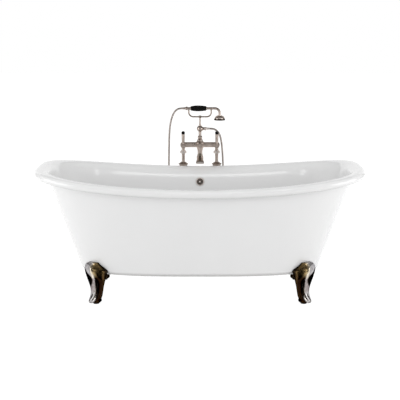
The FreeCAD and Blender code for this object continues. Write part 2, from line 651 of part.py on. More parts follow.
# Waste: a flange through the tub's floor, its gaskets, the body below and a rising plug
waste_flange = turned("waste_flange", [
    ("waste_bore", "waste_flange_rise - waste_recess_depth"),
    ("waste_recess_radius", "waste_flange_rise - waste_recess_depth"),
    ("waste_recess_radius", "waste_flange_rise"),
    ("waste_flange_radius - waste_flange_rise", "waste_flange_rise"),
    ("waste_flange_radius", "0"), ("waste_tail_radius", "0"),
    ("waste_tail_radius", "-waste_tail_length"), ("waste_bore", "-waste_tail_length")])
finish(seat(waste_flange, z="floor_height"), "waste_flange")
waste_gasket = turned("waste_gasket", [
    ("waste_hole_radius", "-waste_gasket_thickness"),
    ("waste_body_radius + waste_gasket_thickness", "-waste_gasket_thickness"),
    ("waste_body_radius + waste_gasket_thickness", "0"), ("waste_hole_radius", "0")])
finish(seat(waste_gasket, z=board_top), "waste_gasket")
body_start = "(-waste_gasket_thickness)"
waste_body_turned = turned("waste_body_turned", [
    ("waste_tail_radius + fit_gap", body_start),
    ("waste_body_radius", body_start),
    ("waste_body_radius", body_start + " - waste_body_drop"),
    ("waste_outlet_radius", body_start + " - waste_body_drop"),
    ("waste_outlet_radius", body_start + " - waste_body_drop - waste_outlet_length"),
    ("waste_bore", body_start + " - waste_body_drop - waste_outlet_length"),
    ("waste_bore", "-waste_tail_length"),
    ("waste_tail_radius + fit_gap", "-waste_tail_length")])
seat(waste_body_turned, z=board_top)
to_rear = FreeCAD.Rotation(Vector(1, 0, 0), -90)
waste_port = primitive("Part::Cylinder", "waste_port", y="(waste_bore + waste_body_radius) / 2",
                       z="waste_port_height", rotation=to_rear, Radius="waste_port_radius",
                       Height="waste_port_reach - (waste_bore + waste_body_radius) / 2")
waste_port_bore = primitive("Part::Cylinder", "waste_port_bore", y="waste_bore / 2",
                            z="waste_port_height", rotation=to_rear,
                            Radius="overflow_pipe_radius + running_gap",
                            Height="waste_port_reach")
finish(cut("waste_body_bored", fused("waste_body_whole", [waste_body_turned, waste_port]),
           waste_port_bore), "waste_body")
guide_ring = turned("plug_guide_ring", [
    ("waste_bore - guide_arm_width / 2", "0"), ("waste_bore - fit_gap / 2", "0"),
    ("waste_bore - fit_gap / 2", "guide_height"),
    ("waste_bore - guide_arm_width / 2", "guide_height")])
guide_hub = primitive("Part::Cylinder", "plug_guide_hub", Radius="guide_hub_radius",
                      Height="guide_height")
guide_arms = [
    primitive("Part::Box", "plug_guide_arm_x", "-waste_bore + guide_arm_width / 3",
              "-guide_arm_width / 2", Length="2 * waste_bore - guide_arm_width * 2 / 3",
              Width="guide_arm_width", Height="guide_height"),
    primitive("Part::Box", "plug_guide_arm_y", "-guide_arm_width / 2",
              "-waste_bore + guide_arm_width / 3", Length="guide_arm_width",
              Width="2 * waste_bore - guide_arm_width * 2 / 3", Height="guide_height")]
guide_bore = primitive("Part::Cylinder", "plug_guide_bore", z="-cut_overrun",
                       Radius="plug_stem_radius + fit_gap", Height="guide_height + 2 * cut_overrun")
finish(seat(cut("plug_guide", fused("plug_guide_whole", [guide_ring, guide_hub] + guide_arms),
                guide_bore), z="floor_height - guide_drop - guide_height"), "waste_plug_guide")
plug = turned("waste_plug", [
    ("0", "-plug_stem_length"), ("plug_stem_radius", "-plug_stem_length"),
    ("plug_stem_radius", "0"), ("plug_radius", "0"), ("plug_radius", "plug_edge"),
    ("0", "plug_edge + plug_dome")])
finish(seat(plug, z="floor_height + waste_flange_rise - waste_recess_depth"), "waste_plug")

# Overflow: a domed rose with six holes, its screw, gasket, box behind the wall and pipe
rose_body = turned("overflow_rose_turned", [
    ("overflow_screw_radius + fit_gap", "0"), ("overflow_rose_radius", "0"),
    ("overflow_rose_radius", "overflow_rose_edge"),
    ("overflow_screw_head", "overflow_rose_rise"),
    ("overflow_screw_radius + fit_gap", "overflow_rose_rise")])
rose_slots = []
slot_count = 6
for index in range(slot_count):
    slot_turn = FreeCAD.Rotation(Vector(0, 0, 1), 360 * index / slot_count)
    slot = primitive("Part::Cylinder", f"overflow_slot_{index + 1}",
                     Radius="overflow_slot_radius", Height="overflow_rose_rise + 2 * cut_overrun")
    slot.Placement = FreeCAD.Placement(
        slot_turn.multVec(Vector(0, number("overflow_hole_circle"), -number("cut_overrun"))),
        slot_turn)
    rose_slots.append(slot)
overflow_rose = cut("overflow_rose", rose_body, fused("overflow_slots", rose_slots))
overflow_rose.Placement = overflow_place(number("fit_gap"))
finish(overflow_rose, "overflow_faceplate")
overflow_screw = turned("overflow_screw", [
    ("0", "overflow_rose_rise - overflow_screw_length"),
    ("overflow_screw_radius", "overflow_rose_rise - overflow_screw_length"),
    ("overflow_screw_radius", "overflow_rose_rise"),
    ("overflow_screw_head", "overflow_rose_rise"),
    ("0", "overflow_rose_rise + overflow_rose_edge")])
overflow_screw.Placement = overflow_place(number("fit_gap"))
finish(overflow_screw, "overflow_screw")
overflow_gasket = turned("overflow_gasket", [
    ("overflow_hole_radius", "-overflow_gasket_thickness"),
    ("overflow_body_radius", "-overflow_gasket_thickness"),
    ("overflow_body_radius", "0"), ("overflow_hole_radius", "0")])
overflow_gasket.Placement = overflow_place(-number("tub_wall + overflow_wall_gap"))
finish(overflow_gasket, "overflow_gasket")
overflow_box = turned("overflow_box_turned", [
    ("overflow_screw_radius + running_gap", "-overflow_body_depth"),
    ("overflow_body_radius", "-overflow_body_depth"), ("overflow_body_radius", "0"),
    ("overflow_body_radius - overflow_body_wall", "0"),
    ("overflow_body_radius - overflow_body_wall", "overflow_body_wall - overflow_body_depth"),
    ("overflow_screw_radius + overflow_body_wall", "overflow_body_wall - overflow_body_depth"),
    ("overflow_screw_radius + overflow_body_wall", "0"),
    ("overflow_screw_radius + running_gap", "0")])
overflow_box.Placement = overflow_place(
    -number("tub_wall + overflow_wall_gap + overflow_gasket_thickness"))
spigot_back = number(
    "tub_wall + overflow_wall_gap + overflow_gasket_thickness + overflow_body_depth / 2")
spigot_centre = overflow_place(-spigot_back).Base
spigot = primitive("Part::Cylinder", "overflow_spigot", Radius="overflow_spigot_radius",
                   Height="overflow_spigot_length - overflow_body_radius + 2 * overflow_body_wall")
spigot_low = spigot_centre - Vector(0, 0, number("overflow_spigot_length"))
spigot.Placement = FreeCAD.Placement(spigot_low, FreeCAD.Rotation())
spigot_bore = primitive("Part::Cylinder", "overflow_spigot_bore",
                        Radius="overflow_pipe_radius + running_gap",
                        Height="overflow_spigot_length - overflow_body_radius")
spigot_bore.Placement = spigot.Placement
overflow_port = primitive("Part::Cylinder", "overflow_port", Radius="overflow_port_radius",
                          Height="overflow_spigot_length - overflow_body_radius / 2")
overflow_port.Placement = spigot.Placement
finish(cut("overflow_box_bored", fused("overflow_box_whole", [overflow_box, spigot]),
           fused("overflow_box_bores", [spigot_bore, overflow_port])), "overflow_box")


def rounded_route(points):
    """Straight runs joined by tangent arcs. Each arc takes 0.45 of its shorter run."""
    edges = []
    radii = []
    start = points[0]
    for before, corner, after in zip(points, points[1:], points[2:]):
        arriving = (corner - before).normalize()
        leaving = (after - corner).normalize()
        turn = arriving.getAngle(leaving)
        shorter = min(before.distanceToPoint(corner), corner.distanceToPoint(after))
        trim = 0.45 * shorter
        radius = trim / math.tan(turn / 2)
        inward = (leaving - arriving).normalize()
        arc_start = corner - arriving * trim
        arc_end = corner + leaving * trim
        middle = corner + inward * (math.hypot(trim, radius) - radius)
        edges.append(Part.LineSegment(start, arc_start).toShape())
        edges.append(Part.Arc(arc_start, middle, arc_end).toShape())
        radii.append(round(radius, 1))
        start = arc_end
    edges.append(Part.LineSegment(start, points[-1]).toShape())
    return Part.Wire(edges), radii


def tube_along(path, radius):
    """A round bar swept along a path of lines and arcs"""
    first = path.Edges[0]
    circle = Part.Circle(first.valueAt(first.FirstParameter),
                         first.tangentAt(first.FirstParameter), radius)
    return path.makePipeShell([Part.Wire(circle.toShape())], True, True)


# Overflow pipe: from the box behind the back wall down to the waste's port
pipe_top = spigot_low + Vector(0, 0, number("cut_overrun"))
port_mouth = Vector(0, number("waste_port_reach - cut_overrun"), number("waste_port_height"))
pipe_back = number("floor_half_width + 2 * overflow_pipe_radius")
pipe_points = [
    pipe_top,
    Vector(0, pipe_top.y, pipe_top.z - number("overflow_nut_length + overflow_nut_radius")),
    Vector(0, pipe_back + number("4 * overflow_pipe_radius"), number("floor_height")),
    Vector(0, pipe_back, port_mouth.z),
    port_mouth,
]
pipe_path, pipe_radii = rounded_route(pipe_points)
pipe = tube_along(pipe_path, number("overflow_pipe_radius"))
pipe = pipe.cut(tube_along(pipe_path, number("overflow_pipe_bore")))
finish(shaped("overflow_pipe_bent", pipe), "overflow_pipe")
upper_nut = turned("overflow_upper_nut", [
    ("overflow_pipe_radius + fit_gap", "0"), ("overflow_nut_radius", "0"),
    ("overflow_nut_radius", "overflow_nut_length"),
    ("overflow_spigot_radius + fit_gap", "overflow_nut_length"),
    ("overflow_spigot_radius + fit_gap", "overflow_body_wall"),
    ("overflow_pipe_radius + fit_gap", "overflow_body_wall")])
upper_nut.Placement = FreeCAD.Placement(
    spigot_low - Vector(0, 0, number("overflow_body_wall + fit_gap")), FreeCAD.Rotation())
lower_nut = turned("overflow_lower_nut", [
    ("overflow_pipe_radius + fit_gap", "0"), ("overflow_nut_radius", "0"),
    ("overflow_nut_radius", "overflow_body_wall"),
    ("overflow_pipe_radius + fit_gap", "overflow_body_wall")])
seat(lower_nut, y="waste_port_reach + fit_gap", z="waste_port_height", rotation=to_rear)
finish(grouped("overflow_nut_pair", [upper_nut, lower_nut]), "overflow_pipe_nuts")

# Mixer pillars: tailed legs through the rim, saucer flanges, union nuts, washers, backnuts
pillar = turned("pillar_turned", [
    ("pillar_bore", "-tail_length"), ("tail_radius", "-tail_length"),
    ("tail_radius", "tail_joint_length - tail_length"),
    ("tail_radius - tail_groove_depth", "tail_joint_length - tail_length"),
    ("tail_radius - tail_groove_depth", "tail_joint_length + tail_groove_width - tail_length"),
    ("tail_radius", "tail_joint_length + tail_groove_width - tail_length"),
    ("tail_radius", "0"), ("pillar_shoulder_radius", "0"),
    ("pillar_shoulder_radius", "pillar_shoulder_height"),
    ("pillar_stem_radius", "pillar_shoulder_height"), ("pillar_stem_radius", "union_height"),
    ("pillar_collar_radius", "union_height"),
    ("pillar_collar_radius", "union_height + pillar_collar_height"),
    ("pillar_bore", "union_height + pillar_collar_height")])
saucer = turned("saucer_turned", [
    ("pillar_shoulder_radius + fit_gap", "0"), ("saucer_base_radius", "0"),
    ("saucer_base_radius", "saucer_height * 0.14"), ("saucer_radius", "saucer_height * 0.42"),
    ("saucer_radius", "saucer_height * 0.5"),
    ("pillar_stem_radius + saucer_height * 0.15", "saucer_height", "saucer_height * 1.5"),
    ("pillar_stem_radius + fit_gap", "saucer_height"),
    ("pillar_stem_radius + fit_gap", "pillar_shoulder_height + fit_gap"),
    ("pillar_shoulder_radius + fit_gap", "pillar_shoulder_height + fit_gap")])
nut_prism = document.addObject("Part::Prism", "union_nut_prism")
nut_prism.Polygon = 6
bind(nut_prism, Circumradius="union_nut_radius", Height="union_length")
nut_lip_bore = primitive("Part::Cylinder", "union_nut_lip_bore", z="-cut_overrun",
                         Radius="pillar_stem_radius + fit_gap",
                         Height="union_length + 2 * cut_overrun")
nut_bore = primitive("Part::Cylinder", "union_nut_bore", z="union_lip",
                     Radius="pillar_collar_radius + fit_gap", Height="union_length + cut_overrun")
union_nut = cut("union_nut_bored", nut_prism, fused("union_nut_bores", [nut_lip_bore, nut_bore]))
washer = turned("clamp_washer_turned", [
    ("tap_hole_radius", "-clamp_washer_thickness"),
    ("clamp_washer_radius", "-clamp_washer_thickness"), ("clamp_washer_radius", "0"),
    ("tap_hole_radius", "0")])
backnut_prism = document.addObject("Part::Prism", "backnut_prism")
backnut_prism.Polygon = 6
bind(backnut_prism, Circumradius="backnut_radius", Height="backnut_height")
backnut_bore = primitive("Part::Cylinder", "backnut_bore", z="-cut_overrun",
                         Radius="tail_radius + running_gap",
                         Height="backnut_height + 2 * cut_overrun")
backnut = cut("backnut_bored", backnut_prism, backnut_bore)
washers = []
backnuts = []
for side, sign in (("left", "-"), ("right", "")):
    tap_x = sign + "tap_centre_distance / 2"
    under_rim = tap_seat + " - tap_block_depth"
    finish(copied(side + "_pillar_leg", pillar, tap_x, tap_line, tap_seat), side + "_pillar")
    finish(copied(side + "_saucer", saucer, tap_x, tap_line, tap_seat), side + "_pillar_flange")
    finish(copied(side + "_union", union_nut, tap_x, tap_line,
                  tap_seat + " + union_height - union_lip - fit_gap"), side + "_union_nut")
    washers.append(copied(side + "_clamp_washer", washer, tap_x, tap_line, under_rim))
    backnuts.append(copied(side + "_backnut", backnut, tap_x, tap_line,
                           under_rim + " - clamp_washer_thickness - backnut_height"))
finish(grouped("clamp_washer_pair", washers), "clamp_washers")
finish(grouped("backnut_pair", backnuts), "backnuts")

# Mixer body: crossbar, ball ends with inlets and valve bosses, waisted centre
axis_height = "(" + tap_seat + " + mixer_axis_height)"
crossbar = primitive("Part::Cylinder", "crossbar", "-tap_centre_distance / 2", tap_line, axis_height,
                     along_x, Radius="crossbar_radius", Height="tap_centre_distance")
centre = turned("mixer_centre", [
    ("0", "body_bottom_height"),
    ("body_foot_radius * 0.6", "body_bottom_height", "body_foot_radius"),
    ("body_foot_radius", "body_bottom_height + body_foot_radius * 0.8"),
    ("body_foot_radius", "body_bottom_height + body_foot_radius * 1.25", "-body_foot_radius * 2.3"),
    ("body_waist_radius", "body_waist_height", "-body_radius * 2.8"),
    ("body_radius", "mixer_axis_height - body_radius * 0.3"),
    ("body_radius", "mixer_axis_height + body_radius * 0.6", "-body_radius * 0.8"),
    ("body_radius * 0.62", "body_top_height - body_radius * 0.25", "body_radius"),
    ("body_collar_radius", "body_top_height"), ("0", "body_top_height")])
seat(centre, y=tap_line, z=tap_seat)
mixer_pieces = [crossbar, centre]
mixer_bores = []
for side, sign in (("left", "-"), ("right", "")):
    tap_x = sign + "tap_centre_distance / 2"
    mixer_pieces.append(primitive("Part::Sphere", side + "_end_ball", tap_x, tap_line, axis_height,
                                  Radius="end_ball_radius"))
    inlet_low = "(union_height + pillar_collar_height + fit_gap)"
    mixer_pieces.append(primitive(
        "Part::Cylinder", side + "_inlet", tap_x, tap_line, tap_seat + " + " + inlet_low,
        Radius="inlet_radius", Height="inlet_length"))
    mixer_pieces.append(primitive(
        "Part::Cylinder", side + "_inlet_neck", tap_x, tap_line, tap_seat + " + " + inlet_low,
        Radius="inlet_neck_radius", Height="mixer_axis_height - " + inlet_low))
    mixer_pieces.append(primitive(
        "Part::Cylinder", side + "_valve_boss", tap_x, tap_line, axis_height, towards_front,
        Radius="valve_boss_radius", Height="valve_face_setback"))
    mixer_bores.append(primitive(
        "Part::Cylinder", side + "_valve_bore", tap_x,
        tap_line + " - valve_face_setback + cartridge_length", axis_height, towards_front,
        Radius="cartridge_radius + running_gap", Height="cartridge_length + cut_overrun"))
mixer_pieces.append(primitive(
    "Part::Cylinder", "diverter_boss", "0", tap_line, axis_height, towards_front,
    Radius="diverter_boss_radius", Height="diverter_face_setback"))
mixer_bores.append(primitive(
    "Part::Cylinder", "diverter_bore", "0",
    tap_line + " - diverter_face_setback + cartridge_length", axis_height, towards_front,
    Radius="cartridge_radius + running_gap", Height="cartridge_length + cut_overrun"))
spout_height = "(" + tap_seat + " + spout_height)"
mixer_pieces.append(primitive(
    "Part::Cylinder", "spout_boss", "0", tap_line, spout_height, towards_front,
    Radius="spout_boss_radius", Height="spout_start"))
finish(cut("mixer_body_bored", fused("mixer_body_whole", mixer_pieces),
           fused("mixer_bores", mixer_bores)), "mixer_body")

# Spout: a flattened arm that widens to a mouth facing down into the bath
spout_length_shares = (0, 0.22, 0.48, 0.74, 0.92, 1)
spout_width_shares = (0, 0.24, 0.52, 0.80, 1, 0.90)
spout_height_shares = (1, 0.96, 0.90, 0.88, 0.80, 0.45)
spout_drop_shares = (0, 0.08, 0.22, 0.34, 0.46, 0.70)
spout_start = number("spout_start")
spout_run = number("spout_reach") - spout_start
root_half_width = number("spout_root_half_width")
root_half_height = number("spout_root_half_height")
mouth_half_width = number("spout_mouth_half_width")
spout_level = number(spout_height)
spout_axis_y = number(tap_line)


def flat_oval(centre_point, half_width, half_height):
    """An upright oval facing the front"""
    oval = Part.Ellipse(centre_point, half_width, half_height)
    oval.Axis = Vector(0, -1, 0)
    oval.XAxis = Vector(1, 0, 0)
    return Part.Wire(oval.toShape())


spout_rings = []
for length_share, width_share, height_share, drop_share in zip(
        spout_length_shares, spout_width_shares, spout_height_shares, spout_drop_shares):
    spout_rings.append(flat_oval(
        Vector(0, spout_axis_y - spout_start - length_share * spout_run,
               spout_level - drop_share * root_half_height),
        root_half_width + width_share * (mouth_half_width - root_half_width),
        root_half_height * height_share))
spout_arm = shaped("spout_arm", Part.makeLoft(spout_rings, True, False))
mouth_x = "-spout_mouth_half_width"
mouth_y = tap_line + " - spout_reach"
mouth_low = spout_height + " - spout_mouth_drop"
mouth_corner = "spout_mouth_depth / 3"
mouth_block = primitive("Part::Box", "spout_mouth_block", mouth_x, mouth_y, mouth_low,
                        Length="2 * spout_mouth_half_width", Width="spout_mouth_depth",
                        Height="spout_mouth_drop - spout_root_half_height / 2")
document.recompute()
mouth_edges = [index for index, edge in enumerate(mouth_block.Shape.Edges, start=1)
               if abs(edge.Vertexes[0].Z - edge.Vertexes[-1].Z) > number("spout_wall")]
mouth = document.addObject("Part::Fillet", "spout_mouth")
mouth.Base = mouth_block
mouth.Edges = [(index, number(mouth_corner), number(mouth_corner)) for index in mouth_edges]
mouth_bore = primitive("Part::Box", "spout_mouth_bore", mouth_x + " + spout_wall",
                       mouth_y + " + spout_wall", mouth_low + " - cut_overrun",
                       Length="2 * spout_mouth_half_width - 2 * spout_wall",
                       Width="spout_mouth_depth - 2 * spout_wall",
                       Height="cut_overrun + spout_mouth_drop - spout_wall")
finish(cut("spout_bored", fused("spout_whole", [spout_arm, mouth]), mouth_bore), "spout")

# Valve cartridges, and quarter-turn levers with their caps and black tips
cartridge = turned("cartridge_turned", [
    ("0", "-cartridge_length"), ("cartridge_radius", "-cartridge_length"),
    ("cartridge_radius", "0"), ("spindle_radius + fit_gap", "0"),
    ("spindle_radius + fit_gap", "-spindle_length - fit_gap"),
    ("0", "-spindle_length - fit_gap")])
hub_profile = [
    ("0", "-spindle_length"), ("spindle_radius", "-spindle_length"), ("spindle_radius", "0"),
    ("lever_hub_radius", "0"), ("lever_hub_radius", "lever_hub_thickness * 0.7"),
    ("lever_hub_radius * 0.85", "lever_hub_thickness"), ("lever_neck_radius", "lever_hub_thickness"),
    ("lever_neck_radius", "lever_hub_thickness + lever_neck_length"),
    ("0", "lever_hub_thickness + lever_neck_length")]
lever_hub = turned("lever_hub_turned", hub_profile)
arm_line = "-(lever_hub_thickness + lever_neck_length) / 2"
lever_arm = turned("lever_arm_turned", [
    ("0", "0"), ("lever_root_radius", "0"), ("lever_root_radius", "lever_hub_radius"),
    ("lever_end_radius", "lever_length"), ("0", "lever_length")])
cap = turned("lever_cap_turned", [
    ("0", "0"), ("lever_cap_radius", "0"), ("lever_cap_radius", "lever_cap_height * 0.5"),
    ("0", "lever_cap_height")])
tip = turned("lever_tip_turned", [
    ("0", "0"), ("(lever_tip_radius ^ 2 - lever_tip_seat ^ 2) ^ 0.5", "0", "lever_tip_radius"),
    ("lever_tip_radius", "lever_tip_seat", "lever_tip_radius"),
    ("0", "lever_tip_radius + lever_tip_seat")])
valve_face = tap_line + " - valve_face_setback"
hub_face = valve_face + " - fit_gap"
for side, sign in (("left", "-"), ("right", "")):
    tap_x = sign + "tap_centre_distance / 2"
    finish(copied(side + "_cartridge", cartridge, tap_x, valve_face, axis_height, towards_front),
           side + "_valve_cartridge")
    hub = copied(side + "_lever_hub", lever_hub, tap_x, hub_face, axis_height, towards_front)
    arm = copied(side + "_lever_arm", lever_arm, tap_x, hub_face + " " + arm_line, axis_height)
    finish(fused(side + "_lever_whole", [hub, arm]), side + "_lever")
    finish(copied(side + "_cap", cap, tap_x,
                  hub_face + " - lever_hub_thickness - lever_neck_length - fit_gap", axis_height,
                  towards_front), side + "_lever_cap")
    finish(copied(side + "_tip", tip, tap_x, hub_face + " " + arm_line,
                  axis_height + " + lever_length"), side + "_lever_tip")

# Diverter: a cartridge and a short lever hanging down in front of the body
diverter_face = tap_line + " - diverter_face_setback"
diverter_hub_face = diverter_face + " - fit_gap"
finish(copied("diverter_valve", cartridge, "0", diverter_face, axis_height, towards_front),
       "diverter_cartridge")
diverter_hub = turned("diverter_hub_turned", [
    ("0", "-spindle_length"), ("spindle_radius", "-spindle_length"), ("spindle_radius", "0"),
    ("diverter_hub_radius", "0"), ("diverter_hub_radius", "diverter_hub_thickness * 0.7"),
    ("diverter_hub_radius * 0.8", "diverter_hub_thickness"), ("0", "diverter_hub_thickness")])
seat(diverter_hub, "0", diverter_hub_face, axis_height, towards_front)
diverter_line = diverter_hub_face + " - diverter_hub_thickness / 2"
upside_down = FreeCAD.Rotation(Vector(0, 1, 0), 180)
diverter_arm = turned("diverter_arm_turned", [
    ("0", "0"), ("diverter_arm_radius", "0"),
    ("diverter_arm_radius * 1.4", "diverter_length"), ("0", "diverter_length")])
seat(diverter_arm, "0", diverter_line, axis_height, upside_down)
finish(fused("diverter_lever_whole", [diverter_hub, diverter_arm]), "diverter_lever")
diverter_tip = turned("diverter_tip_turned", [
    ("0", "0"),
    ("(diverter_tip_radius ^ 2 - diverter_tip_seat ^ 2) ^ 0.5", "0", "diverter_tip_radius"),
    ("diverter_tip_radius", "diverter_tip_seat", "diverter_tip_radius"),
    ("0", "diverter_tip_radius + diverter_tip_seat")])
finish(seat(diverter_tip, "0", diverter_line, axis_height + " - diverter_length", upside_down),
       "diverter_tip")

# Riser: a collared tube up to a ball with the hose outlet on its right
riser_collar = turned("riser_collar", [
    ("riser_radius + fit_gap", "0"), ("riser_collar_radius * 0.8", "0"),
    ("riser_collar_radius", "riser_collar_height * 0.25"),
    ("riser_collar_radius", "riser_collar_height * 0.7"),
    ("riser_collar_radius * 0.8", "riser_collar_height"),
    ("riser_radius + fit_gap", "riser_collar_height")])
finish(seat(riser_collar, y=tap_line, z=tap_seat + " + body_top_height"), "riser_collar")
ball_height = "(" + tap_seat + " + riser_ball_height)"
riser_tube = primitive("Part::Cylinder", "riser_tube", "0", tap_line,
                       tap_seat + " + body_top_height", Radius="riser_radius",
                       Height="riser_ball_height - body_top_height")
riser_ball = primitive("Part::Sphere", "riser_ball", "0", tap_line, ball_height,
                       Radius="riser_ball_radius")
riser_arm = primitive("Part::Cone", "riser_arm", "0", tap_line, ball_height, along_x,
                      Radius1="riser_arm_radius", Radius2="riser_arm_end_radius",
                      Height="riser_arm_length")
riser_spigot = primitive("Part::Cylinder", "riser_spigot", "riser_arm_length", tap_line,
                         ball_height, along_x, Radius="hose_spigot_radius",
                         Height="hose_spigot_length")
riser_top = primitive("Part::Cone", "riser_top", "0", tap_line, ball_height,
                      Radius1="riser_top_radius * 1.5", Radius2="riser_top_radius",
                      Height="riser_top_length")
finish(fused("riser_whole", [riser_tube, riser_ball, riser_arm, riser_spigot, riser_top]), "riser")

# Cradle: a bent rod fork on a stem, with an open yoke at each end for the handset
bar_level = number(tap_seat + " + fork_bar_height")
yoke_inner = number("handset_tube_radius + fit_gap")
yoke_outer = yoke_inner + number("yoke_wall")
handset_level = number(tap_seat + " + handset_height")
fork_bend = number("fork_bend")
fork_half_width = number("fork_half_width")
fork_end_level = handset_level - yoke_inner - number("yoke_wall") / 2
knee_share = math.sin(math.radians(45))


def fork_point(x, z):
    return Vector(x, spout_axis_y, z)


fork_edges = []
for sign in (-1, 1):
    upright = fork_point(sign * fork_half_width, bar_level + fork_bend)
    level = fork_point(sign * (fork_half_width - fork_bend), bar_level)
    knee = fork_point(sign * (fork_half_width - fork_bend * (1 - knee_share)),
                      bar_level + fork_bend * (1 - knee_share))
    end = fork_point(sign * fork_half_width, fork_end_level)
    side_edges = [Part.LineSegment(end, upright).toShape(),
                  Part.Arc(upright, knee, level).toShape()]
    if sign == -1:
        fork_edges += side_edges + [Part.LineSegment(level, fork_point(-level.x, level.z)).toShape()]
    else:
        fork_edges += [Part.Arc(level, knee, upright).toShape(),
                       Part.LineSegment(upright, end).toShape()]
fork_rod = shaped("fork_rod", tube_along(Part.Wire(fork_edges), number("fork_radius")))
fork_hub = primitive("Part::Cylinder", "fork_hub", "-fork_hub_length / 2", tap_line,
                     tap_seat + " + fork_bar_height", along_x, Radius="fork_hub_radius",
                     Height="fork_hub_length")
stem_low = ball_height + " + riser_top_length"
fork_stem = primitive("Part::Cylinder", "fork_stem", "0", tap_line, stem_low,
                      Radius="fork_stem_radius",
                      Height="fork_bar_height - riser_ball_height - riser_top_length")
handset_axis = "(" + tap_seat + " + handset_height)"
yokes = []
yoke_cuts = []
for side, sign in (("left", "-"), ("right", "")):
    yoke_x = sign + "fork_half_width - yoke_width / 2"
    yokes.append(primitive("Part::Cylinder", side + "_yoke", yoke_x, tap_line, handset_axis,
                           along_x, Radius="handset_tube_radius + fit_gap + yoke_wall",
                           Height="yoke_width"))
    yoke_cuts.append(primitive(
        "Part::Cylinder", side + "_yoke_bore", yoke_x + " - cut_overrun", tap_line, handset_axis,
        along_x, Radius="handset_tube_radius + fit_gap", Height="yoke_width + 2 * cut_overrun"))
    yoke_cuts.append(primitive(
        "Part::Box", side + "_yoke_mouth", yoke_x + " - cut_overrun",
        tap_line + " - handset_tube_radius - yoke_wall - cut_overrun", handset_axis,
        Length="yoke_width + 2 * cut_overrun",
        Width="2 * (handset_tube_radius + yoke_wall + cut_overrun)",
        Height="handset_tube_radius + yoke_wall + cut_overrun"))
finish(cut("cradle_whole", fused("cradle_solid", [fork_rod, fork_hub, fork_stem] + yokes),
           fused("cradle_cuts", yoke_cuts)), "cradle")

# Handset: a bent tube with a turned black grip between two ferrules, and a bell rose
tube_start = fork_point(-number("handset_tail"), handset_level)
bend_radius = number("handset_bend_radius")
rose_x = number("handset_rose_x")
bend_start = fork_point(rose_x - bend_radius, handset_level)
bend_middle = fork_point(rose_x - bend_radius * (1 - knee_share),
                         handset_level - bend_radius * (1 - knee_share))
bend_end = fork_point(rose_x, handset_level - bend_radius)
rose_top_level = number(tap_seat + " + rose_top")
tube_end = fork_point(rose_x, rose_top_level)
handset_path = Part.Wire([
    Part.LineSegment(tube_start, bend_start).toShape(),
    Part.Arc(bend_start, bend_middle, bend_end).toShape(),
    Part.LineSegment(bend_end, tube_end).toShape()])
tail_length = number("handset_tail_spigot")
tail = Part.makeCylinder(number("handset_tail_spigot_radius"), tail_length,
                         tube_start - Vector(tail_length, 0, 0), Vector(1, 0, 0))
handset_tube = tube_along(handset_path, number("handset_tube_radius")).fuse(tail)
tail_bore = Part.makeCylinder(number("handset_bore"), tail_length,
                              tube_start - Vector(tail_length, 0, 0), Vector(1, 0, 0))
handset_tube = handset_tube.cut(tube_along(handset_path, number("handset_bore"))).cut(tail_bore)
finish(shaped("handset_tube_bent", handset_tube), "handset_tube")
grip_bore = "handset_tube_radius + running_gap"
start_swell = "((grip_start - grip_swell) ^ 2 + (grip_radius - grip_start_radius) ^ 2)"
end_swell = "((grip_end + grip_swell) ^ 2 + (grip_radius - grip_end_radius) ^ 2)"
grip = turned("handset_grip", [
    (grip_bore, "-grip_start"),
    ("grip_start_radius", "-grip_start",
     start_swell + " / (2 * (grip_radius - grip_start_radius))"),
    ("grip_radius", "-grip_swell", end_swell + " / (2 * (grip_radius - grip_end_radius))"),
    ("grip_end_radius", "grip_end"), (grip_bore, "grip_end")])
finish(seat(grip, "0", tap_line, handset_axis, along_x), "handset_grip")
grip_ferrule = turned("grip_ferrule_turned", [
    (grip_bore, "0"), ("grip_ferrule_radius", "0"),
    ("grip_ferrule_radius", "grip_ferrule_length"), (grip_bore, "grip_ferrule_length")])
finish(grouped("grip_ferrule_pair", [
    copied("hose_side_ferrule", grip_ferrule, "-grip_start - grip_ferrule_length", tap_line,
           handset_axis, along_x),
    copied("rose_side_ferrule", grip_ferrule, "grip_end", tap_line, handset_axis, along_x)]),
    "grip_ferrules")
bell = turned("handset_rose", [
    ("handset_bore", "0"), ("rose_neck_radius", "0"),
    ("rose_neck_radius", "-rose_neck_length", "-rose_bell_depth"),
    ("rose_radius - rose_wall", "-rose_neck_length - rose_bell_depth"),
    ("rose_radius", "-rose_neck_length - rose_bell_depth"),
    ("rose_radius", "-rose_neck_length - rose_bell_depth - rose_rim_height"),
    ("rose_radius - rose_wall", "-rose_neck_length - rose_bell_depth - rose_rim_height"),
    ("rose_radius - rose_wall", "-rose_neck_length - rose_bell_depth - rose_wall"),
    ("handset_bore", "-rose_neck_length - 2 * rose_wall")])
finish(seat(bell, "handset_rose_x", tap_line, tap_seat + " + rose_top"), "handset_rose")
plate = turned("rose_plate_turned", [
    ("0", "0"), ("rose_radius - rose_wall - running_gap", "0"),
    ("rose_radius - rose_wall - running_gap", "rose_plate_thickness"),
    ("0", "rose_plate_thickness")])
spray_ring_shares = (0.36, 0.62, 0.86)
spray_holes = []
for share in spray_ring_shares:
    reach = number("rose_radius - rose_wall") * share
    hole_count = int(2 * math.pi * reach / number("rose_hole_distance"))
    for index in range(hole_count):
        angle = 2 * math.pi * index / hole_count
        spray_holes.append(Part.makeCylinder(
            number("rose_hole_radius"), number("rose_plate_thickness + 2 * cut_overrun"),
            Vector(reach * math.cos(angle), reach * math.sin(angle), -number("cut_overrun"))))
spray = shaped("spray_holes", Part.makeCompound(spray_holes))
plate_level = " - rose_neck_length - rose_bell_depth - rose_rim_height"
finish(seat(cut("rose_plate_drilled", plate, spray), "handset_rose_x", tap_line,
            tap_seat + " + rose_top" + plate_level), "rose_plate")

